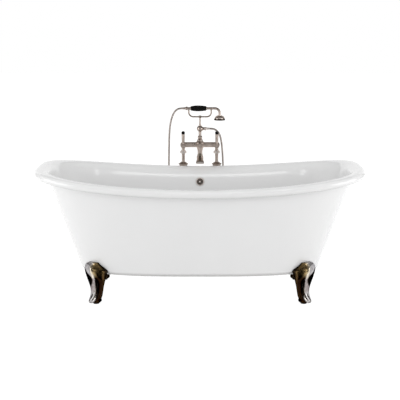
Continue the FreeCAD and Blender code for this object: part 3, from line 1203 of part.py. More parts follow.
# Hose ends: a coned nut and a ferrule at the riser's outlet, and the same at the handset
hose_nut = turned("hose_nut_turned", [
    ("hose_spigot_radius + fit_gap", "0"), ("hose_nut_radius", "0"),
    ("hose_nut_radius", "hose_nut_length * 0.7"), ("ferrule_radius", "hose_nut_length"),
    ("0", "hose_nut_length"), ("0", "hose_spigot_length + fit_gap"),
    ("hose_spigot_radius + fit_gap", "hose_spigot_length + fit_gap")])
ferrule = turned("ferrule_turned", [
    ("0", "0"), ("ferrule_radius", "0"), ("hose_radius", "ferrule_length"),
    ("0", "ferrule_length")])
towards_left = FreeCAD.Rotation(Vector(0, 1, 0), -90)
outlet_x = "riser_arm_length"
finish(copied("outlet_nut", hose_nut, outlet_x, tap_line, ball_height, along_x),
       "outlet_hose_nut")
finish(copied("outlet_ferrule", ferrule, outlet_x + " + hose_nut_length", tap_line, ball_height,
              along_x), "outlet_hose_ferrule")
finish(copied("handset_nut", hose_nut, "-handset_tail", tap_line, handset_axis, towards_left),
       "handset_hose_nut")
finish(copied("handset_ferrule", ferrule, "-handset_tail - hose_nut_length", tap_line,
              handset_axis, towards_left), "handset_hose_ferrule")

# Hose: from the riser's outlet over the back of the rim, round below it and up to the handset
hose_start = Vector(number(outlet_x + " + hose_nut_length + ferrule_length"), spout_axis_y,
                    number(ball_height))
hose_end = Vector(-number("handset_tail + hose_nut_length + ferrule_length + fit_gap"),
                  spout_axis_y, handset_level)
hose_points = [
    hose_start,
    Vector(70, 330, 802),
    Vector(89, 330.5, 793),
    Vector(104, 333, 774),
    Vector(113.5, 338, 744),
    Vector(119.5, 346, 699),
    Vector(124, 356, 637),
    Vector(127, 366, 563),
    Vector(129, 374, 484),
    Vector(128, 380, 400),
    Vector(108, 384, 322),
    Vector(54, 386, 262),
    Vector(-20, 387, 241),
    Vector(-94, 386, 262),
    Vector(-148, 384, 322),
    Vector(-168, 381, 400),
    Vector(-171, 377, 485),
    Vector(-170.5, 371, 568),
    Vector(-169, 362, 647),
    Vector(-167.5, 351, 712),
    Vector(-165.5, 341.5, 767),
    Vector(-161.5, 335, 814.5),
    Vector(-152.3, 331, 858.5),
    Vector(-139.7, 330.2, 888),
    Vector(-125, 330, 904.3),
    Vector(-108.3, 330, 911),
    hose_end,
]
hose_path, hose_radii = rounded_route(hose_points)
hose_radius = number("hose_radius")
hose = tube_along(hose_path, hose_radius)
finish(shaped("hose_tube", hose), "hose")
print("hose length", round(hose_path.Length, 1), "radii", hose_radii, "pipe radii", pipe_radii)
print("hose volume over section times length",
      round(hose.Volume / (math.pi * hose_radius ** 2 * hose_path.Length), 4))

document.recompute()
faults = []
for thing in document.Objects:
    if "Invalid" in thing.State or "Error" in thing.State:
        faults.append(f"{thing.Label}: {thing.State}")
for label, node in nodes.items():
    shape = node.Shape
    if shape.isNull() or not shape.isValid() or not shape.Solids:
        faults.append(f"{label}: no valid solid")
    elif shape.Volume <= 0:
        faults.append(f"{label}: volume {shape.Volume}")
if faults:
    raise RuntimeError("; ".join(faults))

os.makedirs("parts", exist_ok=True)
for label, node in nodes.items():
    node.Shape.exportStep(f"parts/{label}.step")
    box = node.Shape.BoundBox
    print(f"{label}: {len(node.Shape.Solids)} solids, {node.Shape.Volume / 1000:.1f} cm3, "
          f"x {box.XMin:.1f} {box.XMax:.1f}, y {box.YMin:.1f} {box.YMax:.1f}, "
          f"z {box.ZMin:.1f} {box.ZMax:.1f}")
print(len(nodes), "nodes")
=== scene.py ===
import math

import bpy
import numpy as np
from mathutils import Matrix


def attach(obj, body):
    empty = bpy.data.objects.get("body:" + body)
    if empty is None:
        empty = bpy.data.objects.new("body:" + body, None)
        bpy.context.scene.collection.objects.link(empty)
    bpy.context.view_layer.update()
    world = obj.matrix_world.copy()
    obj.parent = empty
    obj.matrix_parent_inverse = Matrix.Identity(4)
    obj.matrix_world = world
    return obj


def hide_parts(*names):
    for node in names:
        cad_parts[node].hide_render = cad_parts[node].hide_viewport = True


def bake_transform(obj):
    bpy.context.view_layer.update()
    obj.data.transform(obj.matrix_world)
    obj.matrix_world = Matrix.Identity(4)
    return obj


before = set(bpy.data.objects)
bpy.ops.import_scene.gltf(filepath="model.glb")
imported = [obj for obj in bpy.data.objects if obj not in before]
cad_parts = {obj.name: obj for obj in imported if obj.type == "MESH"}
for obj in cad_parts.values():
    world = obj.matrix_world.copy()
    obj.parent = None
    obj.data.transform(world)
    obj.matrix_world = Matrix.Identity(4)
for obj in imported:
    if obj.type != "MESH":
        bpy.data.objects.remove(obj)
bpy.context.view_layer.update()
scene = bpy.context.scene

# Base board, bearers and rails. Birch plywood and sawn softwood, glued and screwed under the
# tub's floor before the skin goes on. They show only from below.


def new_finish(name, colour, roughness, metallic=0.0, coat=0.0):
    """A finish whose plain values stand on the shader's own sockets"""
    finish = bpy.data.materials.new(name)
    finish.use_nodes = True
    shader = finish.node_tree.nodes["Principled BSDF"]
    shader.inputs["Base Color"].default_value = (*colour, 1)
    shader.inputs["Roughness"].default_value = roughness
    shader.inputs["Metallic"].default_value = metallic
    shader.inputs["Coat Weight"].default_value = coat
    shader.inputs["Coat Roughness"].default_value = 0.04
    return finish, shader


def mottle(finish, scale, detail=3.0, stretch=(1, 1, 1)):
    """Noise in object coordinates; its scale counts patches to the metre"""
    tree = finish.node_tree
    place = tree.nodes.new("ShaderNodeTexCoord")
    mapping = tree.nodes.new("ShaderNodeMapping")
    mapping.inputs["Scale"].default_value = stretch
    noise = tree.nodes.new("ShaderNodeTexNoise")
    noise.inputs["Scale"].default_value = scale
    noise.inputs["Detail"].default_value = detail
    tree.links.new(place.outputs["Object"], mapping.inputs["Vector"])
    tree.links.new(mapping.outputs["Vector"], noise.inputs["Vector"])
    return noise.outputs["Fac"]


def banded(finish, scale, stretch, distortion):
    """Wave bands in object coordinates, for grain and for plies"""
    tree = finish.node_tree
    place = tree.nodes.new("ShaderNodeTexCoord")
    mapping = tree.nodes.new("ShaderNodeMapping")
    mapping.inputs["Scale"].default_value = stretch
    wave = tree.nodes.new("ShaderNodeTexWave")
    wave.inputs["Scale"].default_value = scale
    wave.inputs["Distortion"].default_value = distortion
    wave.inputs["Detail"].default_value = 3.0
    tree.links.new(place.outputs["Object"], mapping.inputs["Vector"])
    tree.links.new(mapping.outputs["Vector"], wave.inputs["Vector"])
    return wave.outputs["Fac"]


def graded(finish, source, socket, stops):
    """Runs a pattern through a ramp into a socket. A stop is its place and its colour."""
    tree = finish.node_tree
    ramp = tree.nodes.new("ShaderNodeValToRGB")
    points = ramp.color_ramp.elements
    while len(points) < len(stops):
        points.new(0.5)
    for point, (place, colour) in zip(points, stops):
        point.position = place
        point.color = (*colour, 1)
    tree.links.new(source, ramp.inputs["Fac"])
    tree.links.new(ramp.outputs["Color"], socket)
    return ramp.outputs["Color"]


def raised(finish, shader, source, height):
    """Bump of that height in metres"""
    tree = finish.node_tree
    bump = tree.nodes.new("ShaderNodeBump")
    bump.inputs["Distance"].default_value = height
    tree.links.new(source, bump.inputs["Height"])
    tree.links.new(bump.outputs["Normal"], shader.inputs["Normal"])


def dress(finish, *names):
    """Gives a finish to frame nodes, which keep their shape"""
    for name in names:
        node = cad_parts[name]
        if node.material_slots:
            for place in node.material_slots:
                place.material = finish
        else:
            node.data.materials.append(finish)


plywood, plywood_shader = new_finish("birch_plywood", (0.55, 0.40, 0.24), 0.6)
plies = banded(plywood, 110, (0, 0, 1), 0.6)
graded(plywood, plies, plywood_shader.inputs["Base Color"],
       [(0.35, (0.36, 0.24, 0.13)), (0.6, (0.60, 0.45, 0.28))])
raised(plywood, plywood_shader, mottle(plywood, 260, stretch=(0.15, 1, 1)), 0.0002)
dress(plywood, "base_board")

timber, timber_shader = new_finish("sawn_softwood", (0.62, 0.46, 0.28), 0.7)
grain = banded(timber, 9, (1.0, 1.2, 5.0), 5.0)
graded(timber, grain, timber_shader.inputs["Base Color"],
       [(0.2, (0.48, 0.32, 0.17)), (0.7, (0.68, 0.52, 0.33))])
raised(timber, timber_shader, mottle(timber, 500, stretch=(0.2, 1, 1)), 0.0003)
dress(timber, "cross_bearers", "side_rails")

# Inner tub and outer skin. White cast acrylic, vacuum formed, with glass fibre behind; the tub's
# rim is rolled outwards and down, and the skin tucks up inside the roll. The skin's turned-under
# foot is painted greyer towards the floor, as painted shade under the bath.


def height_share(finish, low, high):
    """0 below one height and 1 above another, in metres over the floor"""
    tree = finish.node_tree
    place = tree.nodes.new("ShaderNodeTexCoord")
    parts = tree.nodes.new("ShaderNodeSeparateXYZ")
    span = tree.nodes.new("ShaderNodeMapRange")
    span.inputs["From Min"].default_value = low
    span.inputs["From Max"].default_value = high
    tree.links.new(place.outputs["Object"], parts.inputs["Vector"])
    tree.links.new(parts.outputs["Z"], span.inputs["Value"])
    return span.outputs["Result"]


def shaded(finish, shader, tone_out, source, stops):
    """Multiplies a tone by a ramp over a pattern, such as height or distance, for the colour"""
    tree = finish.node_tree
    mix = tree.nodes.new("ShaderNodeMix")
    mix.data_type = "RGBA"
    mix.blend_type = "MULTIPLY"
    mix.inputs[0].default_value = 1.0
    tree.links.new(tone_out, mix.inputs[6])
    graded(finish, source, mix.inputs[7], stops)
    tree.links.new(mix.outputs[2], shader.inputs["Base Color"])


acrylic, acrylic_shader = new_finish("white_acrylic", (0.84, 0.84, 0.84), 0.16, coat=0.6)
tint = mottle(acrylic, 3.0)
pure = graded(acrylic, tint, acrylic_shader.inputs["Base Color"],
              [(0.3, (0.835, 0.837, 0.838)), (0.7, (0.855, 0.855, 0.855))])
# Painted shade: below 0.172 m the acrylic's colour is darkened towards the floor, to 0.62 of it at
# 0.148 m, the skin's turned-under edge.
shaded(acrylic, acrylic_shader, pure, height_share(acrylic, 0.148, 0.178),
       [(0.0, (0.62, 0.61, 0.60)), (0.8, (1, 1, 1))])
raised(acrylic, acrylic_shader, mottle(acrylic, 26.0, detail=1.0), 0.0002)
dress(acrylic, "inner_tub", "outer_skin")

# Feet. Cast aluminium legs with a keeled knee and two long toes, polished and then darkened to
# an antique tone that stays in the hollows, with painted reflections, highlights and shade laid
# into that tone. Each casting carries a shelf for its bolt and a web under the shelf. The lists
# give one share for each level, from the floor up.
foot_height, knee_width = 0.213, 0.076
knee_front, knee_back = 0.050, -0.026
foot_levels = np.array(
    [0.033, 0.055, 0.10, 0.17, 0.26, 0.37, 0.50, 0.62, 0.72, 0.80, 0.88, 0.95, 1])
foot_fronts = knee_front * np.array(
    [0.62, 0.80, 0.86, 0.72, 0.54, 0.46, 0.50, 0.68, 0.88, 0.98, 1, 0.86, 0.60])
foot_backs = knee_back * np.array([0.70, 0.95, 1, 1, 0.98, 0.98, 1, 1, 1, 1, 1, 1, 1])
foot_widths = knee_width * np.array(
    [0.29, 0.38, 0.425, 0.455, 0.48, 0.53, 0.64, 0.77, 0.865, 0.94, 0.80, 0.62, 0.46])
foot_middles = knee_width * np.array(
    [0, 0.05, 0.11, 0.155, 0.17, 0.20, 0.24, 0.22, 0.20, 0.16, 0.22, 0.29, 0.26])
foot_leans = knee_width * np.array(
    [0, 0.08, 0.19, 0.37, 0.46, 0.505, 0.54, 0.52, 0.445, 0.36, 0.37, 0.38, 0.37])
foot_ridges = np.array([0, 0, 0, 0, 0, 0, 0, 0.3, 0.7, 1, 1, 1, 1])
knee_half = np.array(
    [(1, 0), (0.86, 0.25), (0.60, 0.60), (0.33, 0.86), (0.10, 1), (0, 0.8), (0, 0.4)])
toes_half = np.array(
    [(0.84, 0), (1, 0.38), (0.86, 0.78), (0.62, 0.98), (0.36, 1), (0.10, 0.78), (0, 0.36)])
foot_turn = math.radians(60)
foot_centre = np.array([-0.516, -0.197])


def round_spline(values, places):
    """A closed curve of cubic pieces through evenly spaced values (rows of the second last axis):
    the curve's second differences follow from one linear system round the ring"""
    count = values.shape[-2]
    shift = np.roll(np.eye(count), 1, axis=0)
    bends = np.linalg.solve(4 * np.eye(count) + shift + shift.T,
                            6 * (np.roll(values, -1, -2) - 2 * values + np.roll(values, 1, -2)))
    step = np.floor(places * count).astype(int) % count
    part = (places * count - np.floor(places * count))[:, None]
    after = (step + 1) % count
    return ((1 - part) * values[..., step, :] + part * values[..., after, :]
            + ((1 - part) ** 3 - (1 - part)) / 6 * bends[..., step, :]
            + (part ** 3 - part) / 6 * bends[..., after, :])


def open_spline(knots, values, places):
    """A natural cubic curve through values at uneven knots, read at many places"""
    gaps = np.diff(knots)
    count = len(knots)
    system = np.eye(count)
    right = np.zeros((count,) + values.shape[1:])
    slopes = np.diff(values, axis=0) / gaps.reshape((-1,) + (1,) * (values.ndim - 1))
    for row in range(1, count - 1):
        system[row, row - 1:row + 2] = gaps[row - 1], 2 * (gaps[row - 1] + gaps[row]), gaps[row]
        right[row] = 6 * (slopes[row] - slopes[row - 1])
    bends = np.tensordot(np.linalg.inv(system), right, 1)
    cell = np.clip(np.searchsorted(knots, places, side="right") - 1, 0, count - 2)
    shape = (-1,) + (1,) * (values.ndim - 1)
    gap = gaps[cell].reshape(shape)
    part = ((places - knots[cell]) / gaps[cell]).reshape(shape)
    return ((1 - part) * values[cell] + part * values[cell + 1]
            + gap ** 2 / 6 * (((1 - part) ** 3 - (1 - part)) * bends[cell]
                              + (part ** 3 - part) * bends[cell + 1]))


def bell(distance, width):
    """A smooth bump of height 1 that falls away over the width"""
    return np.exp(-(distance / width) ** 2)


def eased(value, start, end):
    """0 before start, 1 after end, and smooth between them"""
    share = np.clip((value - start) / (end - start), 0, 1)
    return share * share * (3 - 2 * share)


# The skin's wall over the feet: its straight part rises from the rounded edge, and its half
# length, half width and squareness grow with height
skin_edge, skin_straight, skin_rise = 0.148, 0.174, 0.3969
skin_low_length, skin_high_length = 0.610, 0.800 - 0.0369
skin_low_width, skin_high_width = 0.254, 0.330 - 0.0179
skin_low_power, skin_power_gain = 3.0, 0.38
edge_heights = np.array([skin_edge, 0.1493, 0.1530, 0.1588, 0.1663, skin_straight,
                         skin_straight + skin_rise])
edge_insets = np.array([0.026, 0.0180, 0.0107, 0.0050, 0.0013, 0.0, 0.0])
skin_gap = 0.0006


def skin_push(points):
    """Moves points that lie inside the skin straight out from the bath's middle onto its wall.
    The wall is a superellipse |x/a|^p + |y/b|^p = 1 whose half sizes grow with height."""
    share = np.clip((points[..., 2] - skin_straight) / skin_rise, 0, 1)
    inset = np.interp(points[..., 2], edge_heights, edge_insets)
    half_length = (skin_low_length + share * (skin_high_length - skin_low_length)
                   - inset + skin_gap)
    half_width = skin_low_width + share * (skin_high_width - skin_low_width) - inset + skin_gap
    power = skin_low_power + skin_power_gain * share
    reach = ((np.abs(points[..., 0]) / half_length) ** power
             + (np.abs(points[..., 1]) / half_width) ** power) ** (-1 / power)
    inside = (reach > 1) & (points[..., 2] > skin_edge)
    return points * np.where(inside, reach, 1)[..., None] ** np.array([1, 1, 0]), inside


def skin_hug(rings):
    """Each ring keeps the run that stands outside the skin. The rest of it, between the two
    crossings, is laid straight across and then moved out onto the skin."""
    count = rings.shape[1]
    inside = skin_push(rings)[1]
    for row in np.flatnonzero(inside.any(axis=1)):
        hidden = np.flatnonzero(inside[row])
        first, last = hidden[0], hidden[-1]
        share = np.linspace(0, 1, last - first + 3)[1:-1, None]
        start, end = rings[row, first - 1], rings[row, (last + 1) % count]
        rings[row, first:last + 1] = start + share * (end - start)
    return skin_push(rings)[0]


# Every section is half a ring, mirrored: toes below, passing over to the knee above
level_count = 110
around_count = 144
levels = np.linspace(foot_levels[0], foot_levels[-1], level_count)
half_blend = toes_half + foot_ridges[:, None, None] * (knee_half - toes_half)
ring_u = foot_backs[:, None] + half_blend[..., 0] * (foot_fronts - foot_backs)[:, None]
ring_w = foot_widths[:, None] * half_blend[..., 1]
ring_u = np.concatenate([ring_u, foot_backs[:, None], ring_u[:, :0:-1]], axis=1)
ring_w = np.concatenate([ring_w, 0 * foot_backs[:, None], -ring_w[:, :0:-1]], axis=1)
# The front of every section leans along W, towards the middle of the bath
ring_leans = (foot_leans / (foot_fronts - foot_backs))[:, None] * (ring_u - foot_backs[:, None])
ring_cross = foot_middles[:, None] + ring_w - ring_leans
# The places round the ring crowd towards its front, where the keel and the groove are
even = np.linspace(0, 1, around_count, endpoint=False)
crowding = 0.495
crowded = even - crowding * np.sin(2 * np.pi * even) / (2 * np.pi)
rings = round_spline(np.stack([ring_u, ring_w, ring_cross], -1), crowded % 1)
skeleton = open_spline(foot_levels, rings, levels)
u_side, w_side, cross = skeleton[..., 0], skeleton[..., 1], skeleton[..., 2]
# Marks start at the leg's middle and reach their full depth this far in front of it
front_fade = 0.012
front_mask = eased(u_side, 0.0, front_fade)
level_grid = levels[:, None]
# A groove parts the two toes, the keel above it is pinched to an edge, and the knee's cheeks
# are hollowed beside the keel
groove_deepest, groove_half = 0.0085, 0.0038
keel_height, keel_half = 0.0030, 0.006
cheek_depth, cheek_place, cheek_half = 0.0028, 0.030, 0.014
groove_depth = groove_deepest * eased(level_grid, 0.05, 0.13) * (1 - eased(level_grid, 0.54, 0.68))
groove_levels = [0.10, 0.17, 0.25, 0.33, 0.42]
groove_shares = np.interp(levels, groove_levels, [-0.25, -0.22, -0.08, 0.05, 0.07])
groove_line = (groove_shares * np.interp(levels, foot_levels, foot_widths))[:, None]
groove = groove_depth * bell(w_side - groove_line, groove_half) * front_mask
keel = (keel_height * eased(level_grid, 0.60, 0.74) * (1 - eased(level_grid, 0.90, 1.0))
        * bell(w_side, keel_half))
cheeks = (-cheek_depth * eased(level_grid, 0.62, 0.78) * (1 - eased(level_grid, 0.9, 1.0))
          * bell(np.abs(w_side) - cheek_place, cheek_half) * front_mask)
u_side = u_side - groove + keel * front_mask + cheeks
outward = np.array([-math.cos(foot_turn), -math.sin(foot_turn)])
sideways = np.array([-math.sin(foot_turn), math.cos(foot_turn)])
leg_plan = foot_centre + u_side[..., None] * outward + cross[..., None] * sideways
leg_points = skin_hug(np.concatenate(
    [leg_plan, np.broadcast_to((level_grid * foot_height)[..., None], u_side.shape + (1,))], -1))


def ring_faces(rows, columns):
    """The four corners of every cell of a grid whose columns run on round a ring"""
    row = np.arange(rows - 1)[:, None]
    column = np.arange(columns)[None, :]
    after = (column + 1) % columns
    return np.stack([row * columns + column, row * columns + after,
                     (row + 1) * columns + after, (row + 1) * columns + column], -1).reshape(-1, 4)


def prism(outline, rise):
    """A straight block: a flat outline (corners in order) carried along the rise"""
    outline = np.asarray(outline, float)
    corners = np.concatenate([outline, outline + rise])
    count = len(outline)
    faces = [list(range(count))[::-1], list(range(count, 2 * count))]
    faces += [[k, (k + 1) % count, count + (k + 1) % count, count + k] for k in range(count)]
    return corners, faces


def new_piece(name, points, faces, finish, body):
    """A smooth mesh with one finish, which rides on a body if one is given"""
    mesh = bpy.data.meshes.new(name)
    mesh.from_pydata(np.asarray(points).reshape(-1, 3).tolist(), [],
                     [list(map(int, face)) for face in faces])
    mesh.polygons.foreach_set("use_smooth", np.ones(len(mesh.polygons), bool))
    mesh.materials.append(finish)
    piece = bpy.data.objects.new(name, mesh)
    scene.collection.objects.link(piece)
    if body:
        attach(piece, body)
    return piece


# Painted tone: a dark antique patina in the hollows, deepened there by painted shade, with painted
# reflections and highlights over it where the polished faces would mirror the lamps. The lit ridge
# wanders from the keel down the outer toe, so its share across is read by level.
across_share = w_side / np.interp(levels, foot_levels, foot_widths)[:, None]
ridge_levels = np.array(
    [0.06, 0.10, 0.17, 0.25, 0.33, 0.42, 0.50, 0.58, 0.63, 0.68, 0.73, 0.83, 0.97])
ridge_shares = np.array(
    [0.05, 0.0, 0.03, 0.12, 0.21, 0.24, 0.22, 0.17, 0.15, 0.13, 0.08, 0.08, 0.0])
parting_shares = np.array(
    [-0.4, -0.3, -0.16, 0.0, 0.10, 0.13, 0.10, 0.03, 0.02, -0.02, -0.08, -0.04, 0.1])
outer_dark_shares = np.array([1, 1, 1, 1, 0.95, 0.74, 0.5, 0.30, 0.22, 0.22, 0.50, 1, 1])
ridge = across_share - np.interp(levels, ridge_levels, ridge_shares)[:, None]
parting = across_share - np.interp(levels, ridge_levels, parting_shares)[:, None]
outer_dark = across_share - np.interp(levels, ridge_levels, outer_dark_shares)[:, None]
knee_zone = eased(level_grid, 0.64, 0.76)
inner_knee = eased(level_grid, 0.67, 0.84)
silver = np.array([0.54, 0.54, 0.57])
lilac = np.array([0.38, 0.35, 0.37])
gold = np.array([0.48, 0.36, 0.18])
olive = np.array([0.11, 0.075, 0.033])
pale = np.array([0.98, 0.93, 0.82])
black = np.array([0.012, 0.008, 0.005])
umber = np.array([0.018, 0.008, 0.004])
# Each colour is laid over the ones before it by its share: olive and gold on the knee's inner
# side, partly antique tone and partly painted dark reflection; painted lilac and silver reflection
# on the faces turned outwards; painted dark reflection on the outer side; the ridge's painted pale
# highlight; painted shade in the groove, with a painted highlight beside it and painted dark
# reflection on the inner toe; and painted shade at the foot of the toes.
tone = umber + np.zeros(u_side.shape + (3,))
for colour, share in (
        (olive, inner_knee),
        (olive, 0.35 * (1 - inner_knee) * bell(across_share + 0.86, 0.12)),
        (gold, inner_knee * bell(np.minimum(ridge, 0), 0.45)),
        (lilac, eased(parting, 0.0, 0.06)),
        (silver, eased(parting, 0.0, 0.06) * (knee_zone + eased(-level_grid, -0.36, -0.24))),
        (black, 0.95 * eased(outer_dark, 0.0, 0.12) * eased(level_grid, 0.36, 0.46)),
        (pale, eased(level_grid, 0.62, 0.70) * bell(ridge, 0.12)),
        (pale, 0.8 * bell(ridge, 0.08) * bell(level_grid - 0.26, 0.12)),
        (black, 0.85 * bell(across_share - 0.07, 0.05) * bell(level_grid - 0.42, 0.16)),
        (silver, 0.8 * bell(across_share + 0.07, 0.035) * bell(level_grid - 0.42, 0.10)),
        (black, 0.9 * bell(across_share + 0.30, 0.14) * bell(level_grid - 0.20, 0.09)),
        (black, 0.8 * bell(level_grid - 0.05, 0.045) * (1 - bell(ridge, 0.2)))):
    tone += (colour - tone) * np.clip(share, 0, 1)[..., None]
# Painted shade: behind the leg's middle, where it turns to the skin, the tone goes black, except
# on the outer side of the knee.
outer_knee = knee_zone * eased(across_share, 0.3, 0.8)
tone += (black - tone) * ((1 - front_mask) * (1 - outer_knee))[..., None]



def spread(finish, source, socket, low, high):
    """Turns a pattern from 0..1 into low..high"""
    tree = finish.node_tree
    span = tree.nodes.new("ShaderNodeMapRange")
    span.inputs["From Min"].default_value = 0.3
    span.inputs["From Max"].default_value = 0.7
    span.inputs["To Min"].default_value = low
    span.inputs["To Max"].default_value = high
    tree.links.new(source, span.inputs["Value"])
    tree.links.new(span.outputs["Result"], socket)


# The foot metal takes the painted tone of its points, patina and painted reflections together, for
# its colour and for its specular tint.
foot_metal, foot_metal_shader = new_finish("cast_foot_metal_patina_and_painted_light", (0.42, 0.36, 0.28), 0.2, metallic=1.0)
foot_metal_tree = foot_metal.node_tree
tone_source = foot_metal_tree.nodes.new("ShaderNodeAttribute")
tone_source.attribute_name = "tone"
patches = mottle(foot_metal, 70.0, detail=5.0)
shaded(foot_metal, foot_metal_shader, tone_source.outputs["Color"], patches,
       [(0.3, (0.62, 0.58, 0.52)), (0.7, (1.25, 1.22, 1.16))])
foot_metal_tree.links.new(tone_source.outputs["Color"], foot_metal_shader.inputs["Specular Tint"])
spread(foot_metal, patches, foot_metal_shader.inputs["Roughness"], 0.14, 0.30)
raised(foot_metal, foot_metal_shader, mottle(foot_metal, 120.0, detail=4.0), 0.0004)

leg_faces = ring_faces(level_count, around_count).tolist()
leg_faces.append(list(range(around_count))[::-1])
leg_faces.append(list(range((level_count - 1) * around_count, level_count * around_count)))
# The shelf ends in a half round about its bolt, and the web narrows down to the shin
bolt_place = np.array([-0.448, -0.135])
shelf_base, shelf_thickness, shelf_half = 0.138, 0.008, 0.015
line = (bolt_place - foot_centre) / np.linalg.norm(bolt_place - foot_centre)
side_line = np.array([-line[1], line[0]])
round_turns = np.linspace(-math.pi / 2, math.pi / 2, 17)
shelf_round = bolt_place + shelf_half * (np.cos(round_turns)[:, None] * line
                                        + np.sin(round_turns)[:, None] * side_line)
shelf_plan = np.concatenate([[foot_centre - shelf_half * side_line], shelf_round,
                             [foot_centre + shelf_half * side_line]])
shelf_outline = np.concatenate([shelf_plan, np.full((len(shelf_plan), 1), shelf_base)], 1)
shelf_points, shelf_faces = prism(shelf_outline, np.array([0, 0, shelf_thickness]))
web_turn = math.radians(14)
web_level, web_thickness = 0.146, 0.008
web_depth, web_middle_depth = 0.086, 0.038
web_reach, web_middle_reach = 0.053, 0.031
web_line = np.array([math.cos(web_turn), math.sin(web_turn), 0])
web_side = np.array([-web_line[1], web_line[0], 0]) * web_thickness
web_top = np.array([*foot_centre, web_level]) - web_side / 2
upright = np.array([0, 0, 1])
web_outline = np.array([web_top, web_top - web_depth * upright,
                        web_top + web_middle_reach * web_line - web_middle_depth * upright,
                        web_top + web_reach * web_line])
web_points, web_faces = prism(web_outline, web_side)
# Leg, shelf and web make one casting. The shelf keeps the plain umber, and the web under it is
# painted black as shade.
leg_count = level_count * around_count
casting_points = np.concatenate([leg_points.reshape(-1, 3), shelf_points, web_points])
casting_faces = leg_faces + [[k + leg_count for k in face] for face in shelf_faces]
casting_faces += [[k + leg_count + len(shelf_points) for k in face] for face in web_faces]
casting_tone = np.ones((len(casting_points), 4))
casting_tone[:, :3] = umber
casting_tone[:leg_count, :3] = tone.reshape(-1, 3)
casting_tone[leg_count + len(shelf_points):, :3] = black
for foot_name, flip_x, flip_y in (("front_left", 1, 1), ("front_right", -1, 1),
                                  ("rear_left", 1, -1), ("rear_right", -1, -1)):
    turned_over = flip_x * flip_y < 0
    piece = new_piece(foot_name + "_cast_foot", casting_points * (flip_x, flip_y, 1),
                      [face[::-1] if turned_over else face for face in casting_faces],
                      foot_metal, "bath")
    tones = piece.data.color_attributes.new("tone", "FLOAT_COLOR", "POINT")
    tones.data.foreach_set("color", casting_tone.ravel())
    flat = piece.data.attributes.new("sharp_face", "BOOLEAN", "FACE")
    flat.data.foreach_set("value", np.arange(len(casting_faces)) >= len(leg_faces) - 2)
    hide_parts(foot_name + "_foot")

# Foot bolts, their washers, and the washers under the rim: zinc-plated steel.
# The levelling pads and the gaskets are moulded black rubber.
zinc, zinc_shader = new_finish("zinc_plated_steel", (0.60, 0.61, 0.63), 0.32, metallic=1.0)
spangle = mottle(zinc, 400.0)
graded(zinc, spangle, zinc_shader.inputs["Base Color"],
       [(0.35, (0.50, 0.51, 0.54)), (0.65, (0.68, 0.69, 0.70))])
spread(zinc, spangle, zinc_shader.inputs["Roughness"], 0.24, 0.42)
dress(zinc, "foot_bolts", "clamp_washers")

rubber, rubber_shader = new_finish("black_rubber", (0.03, 0.03, 0.03), 0.65)
rub = mottle(rubber, 300.0)
graded(rubber, rub, rubber_shader.inputs["Base Color"],
       [(0.3, (0.022, 0.022, 0.023)), (0.7, (0.045, 0.044, 0.043))])
raised(rubber, rubber_shader, rub, 0.0002)
dress(rubber, "foot_pads", "waste_gasket", "overflow_gasket")

# Waste and overflow. Nickel-plated brass flange, plug and faceplate inside the bath, and white
# moulded bodies and pipe behind, hand tightened over their gaskets. The faceplate is painted dark
# round its holes, as painted shade in the recess behind them.


def nickel_finish(name, low, high, shine=(0.27, 0.40)):
    """Nickel plate, clouded by handling between two tones"""
    plate, plate_shader = new_finish(name, high, 0.3, metallic=1.0)
    cloud = mottle(plate, 45.0, detail=3.0)
    tone_out = graded(plate, cloud, plate_shader.inputs["Base Color"], [(0.3, low), (0.7, high)])
    spread(plate, cloud, plate_shader.inputs["Roughness"], *shine)
    raised(plate, plate_shader, mottle(plate, 160.0, detail=2.0), 0.00006)
    plate_shader.inputs["Specular Tint"].default_value = (0.4, 0.36, 0.33, 1)
    return plate, plate_shader, tone_out


nickel = nickel_finish("polished_nickel", (0.45, 0.378, 0.336), (0.62, 0.533, 0.48))[0]
dress(nickel, "waste_flange", "waste_plug_guide", "waste_plug")
# A lighter painted copy of the same nickel, standing in for the light on small parts: the overflow
# screw, the union nuts, the faceplate and the outlet's hose nut and ferrule.
bright_low, bright_high, bright_shine = (0.84, 0.77, 0.72), (0.94, 0.88, 0.84), (0.42, 0.5)
lighter_painted_nickel = nickel_finish("lighter_painted_nickel", bright_low, bright_high, bright_shine)[0]
dress(lighter_painted_nickel, "overflow_screw")


def distance_share(finish, centre, far):
    """0 at a point and 1 at a distance from it, in metres"""
    tree = finish.node_tree
    place = tree.nodes.new("ShaderNodeTexCoord")
    gap = tree.nodes.new("ShaderNodeVectorMath")
    gap.operation = "DISTANCE"
    gap.inputs[1].default_value = centre
    span = tree.nodes.new("ShaderNodeMapRange")
    span.inputs["From Max"].default_value = far
    tree.links.new(place.outputs["Object"], gap.inputs[0])
    tree.links.new(gap.outputs["Value"], span.inputs["Value"])
    return span.outputs["Result"]


plate_centre, plate_radius = (0, 0.2608, 0.5252), 0.023
faceplate_parts = nickel_finish("faceplate_nickel", bright_low, bright_high, bright_shine)
# Painted shade round the holes: the colour falls to 0.42 at the centre and to about a fifth from 7
# to 15 mm out, and is full 19 mm out.
hole_shade = distance_share(faceplate_parts[0], plate_centre, plate_radius)
shaded(*faceplate_parts, hole_shade, [(0.20, (0.42, 0.38, 0.35)), (0.32, (0.20, 0.17, 0.16)),
                                 (0.66, (0.24, 0.21, 0.20)), (0.82, (1, 1, 1))])
dress(faceplate_parts[0], "overflow_faceplate")

moulded, moulded_shader = new_finish("white_moulded_plastic", (0.80, 0.80, 0.79), 0.45)
pebble = mottle(moulded, 600.0)
graded(moulded, pebble, moulded_shader.inputs["Base Color"],
       [(0.3, (0.77, 0.77, 0.755)), (0.7, (0.82, 0.82, 0.81))])
raised(moulded, moulded_shader, pebble, 0.0001)
dress(moulded, "waste_body", "overflow_box", "overflow_pipe", "overflow_pipe_nuts")

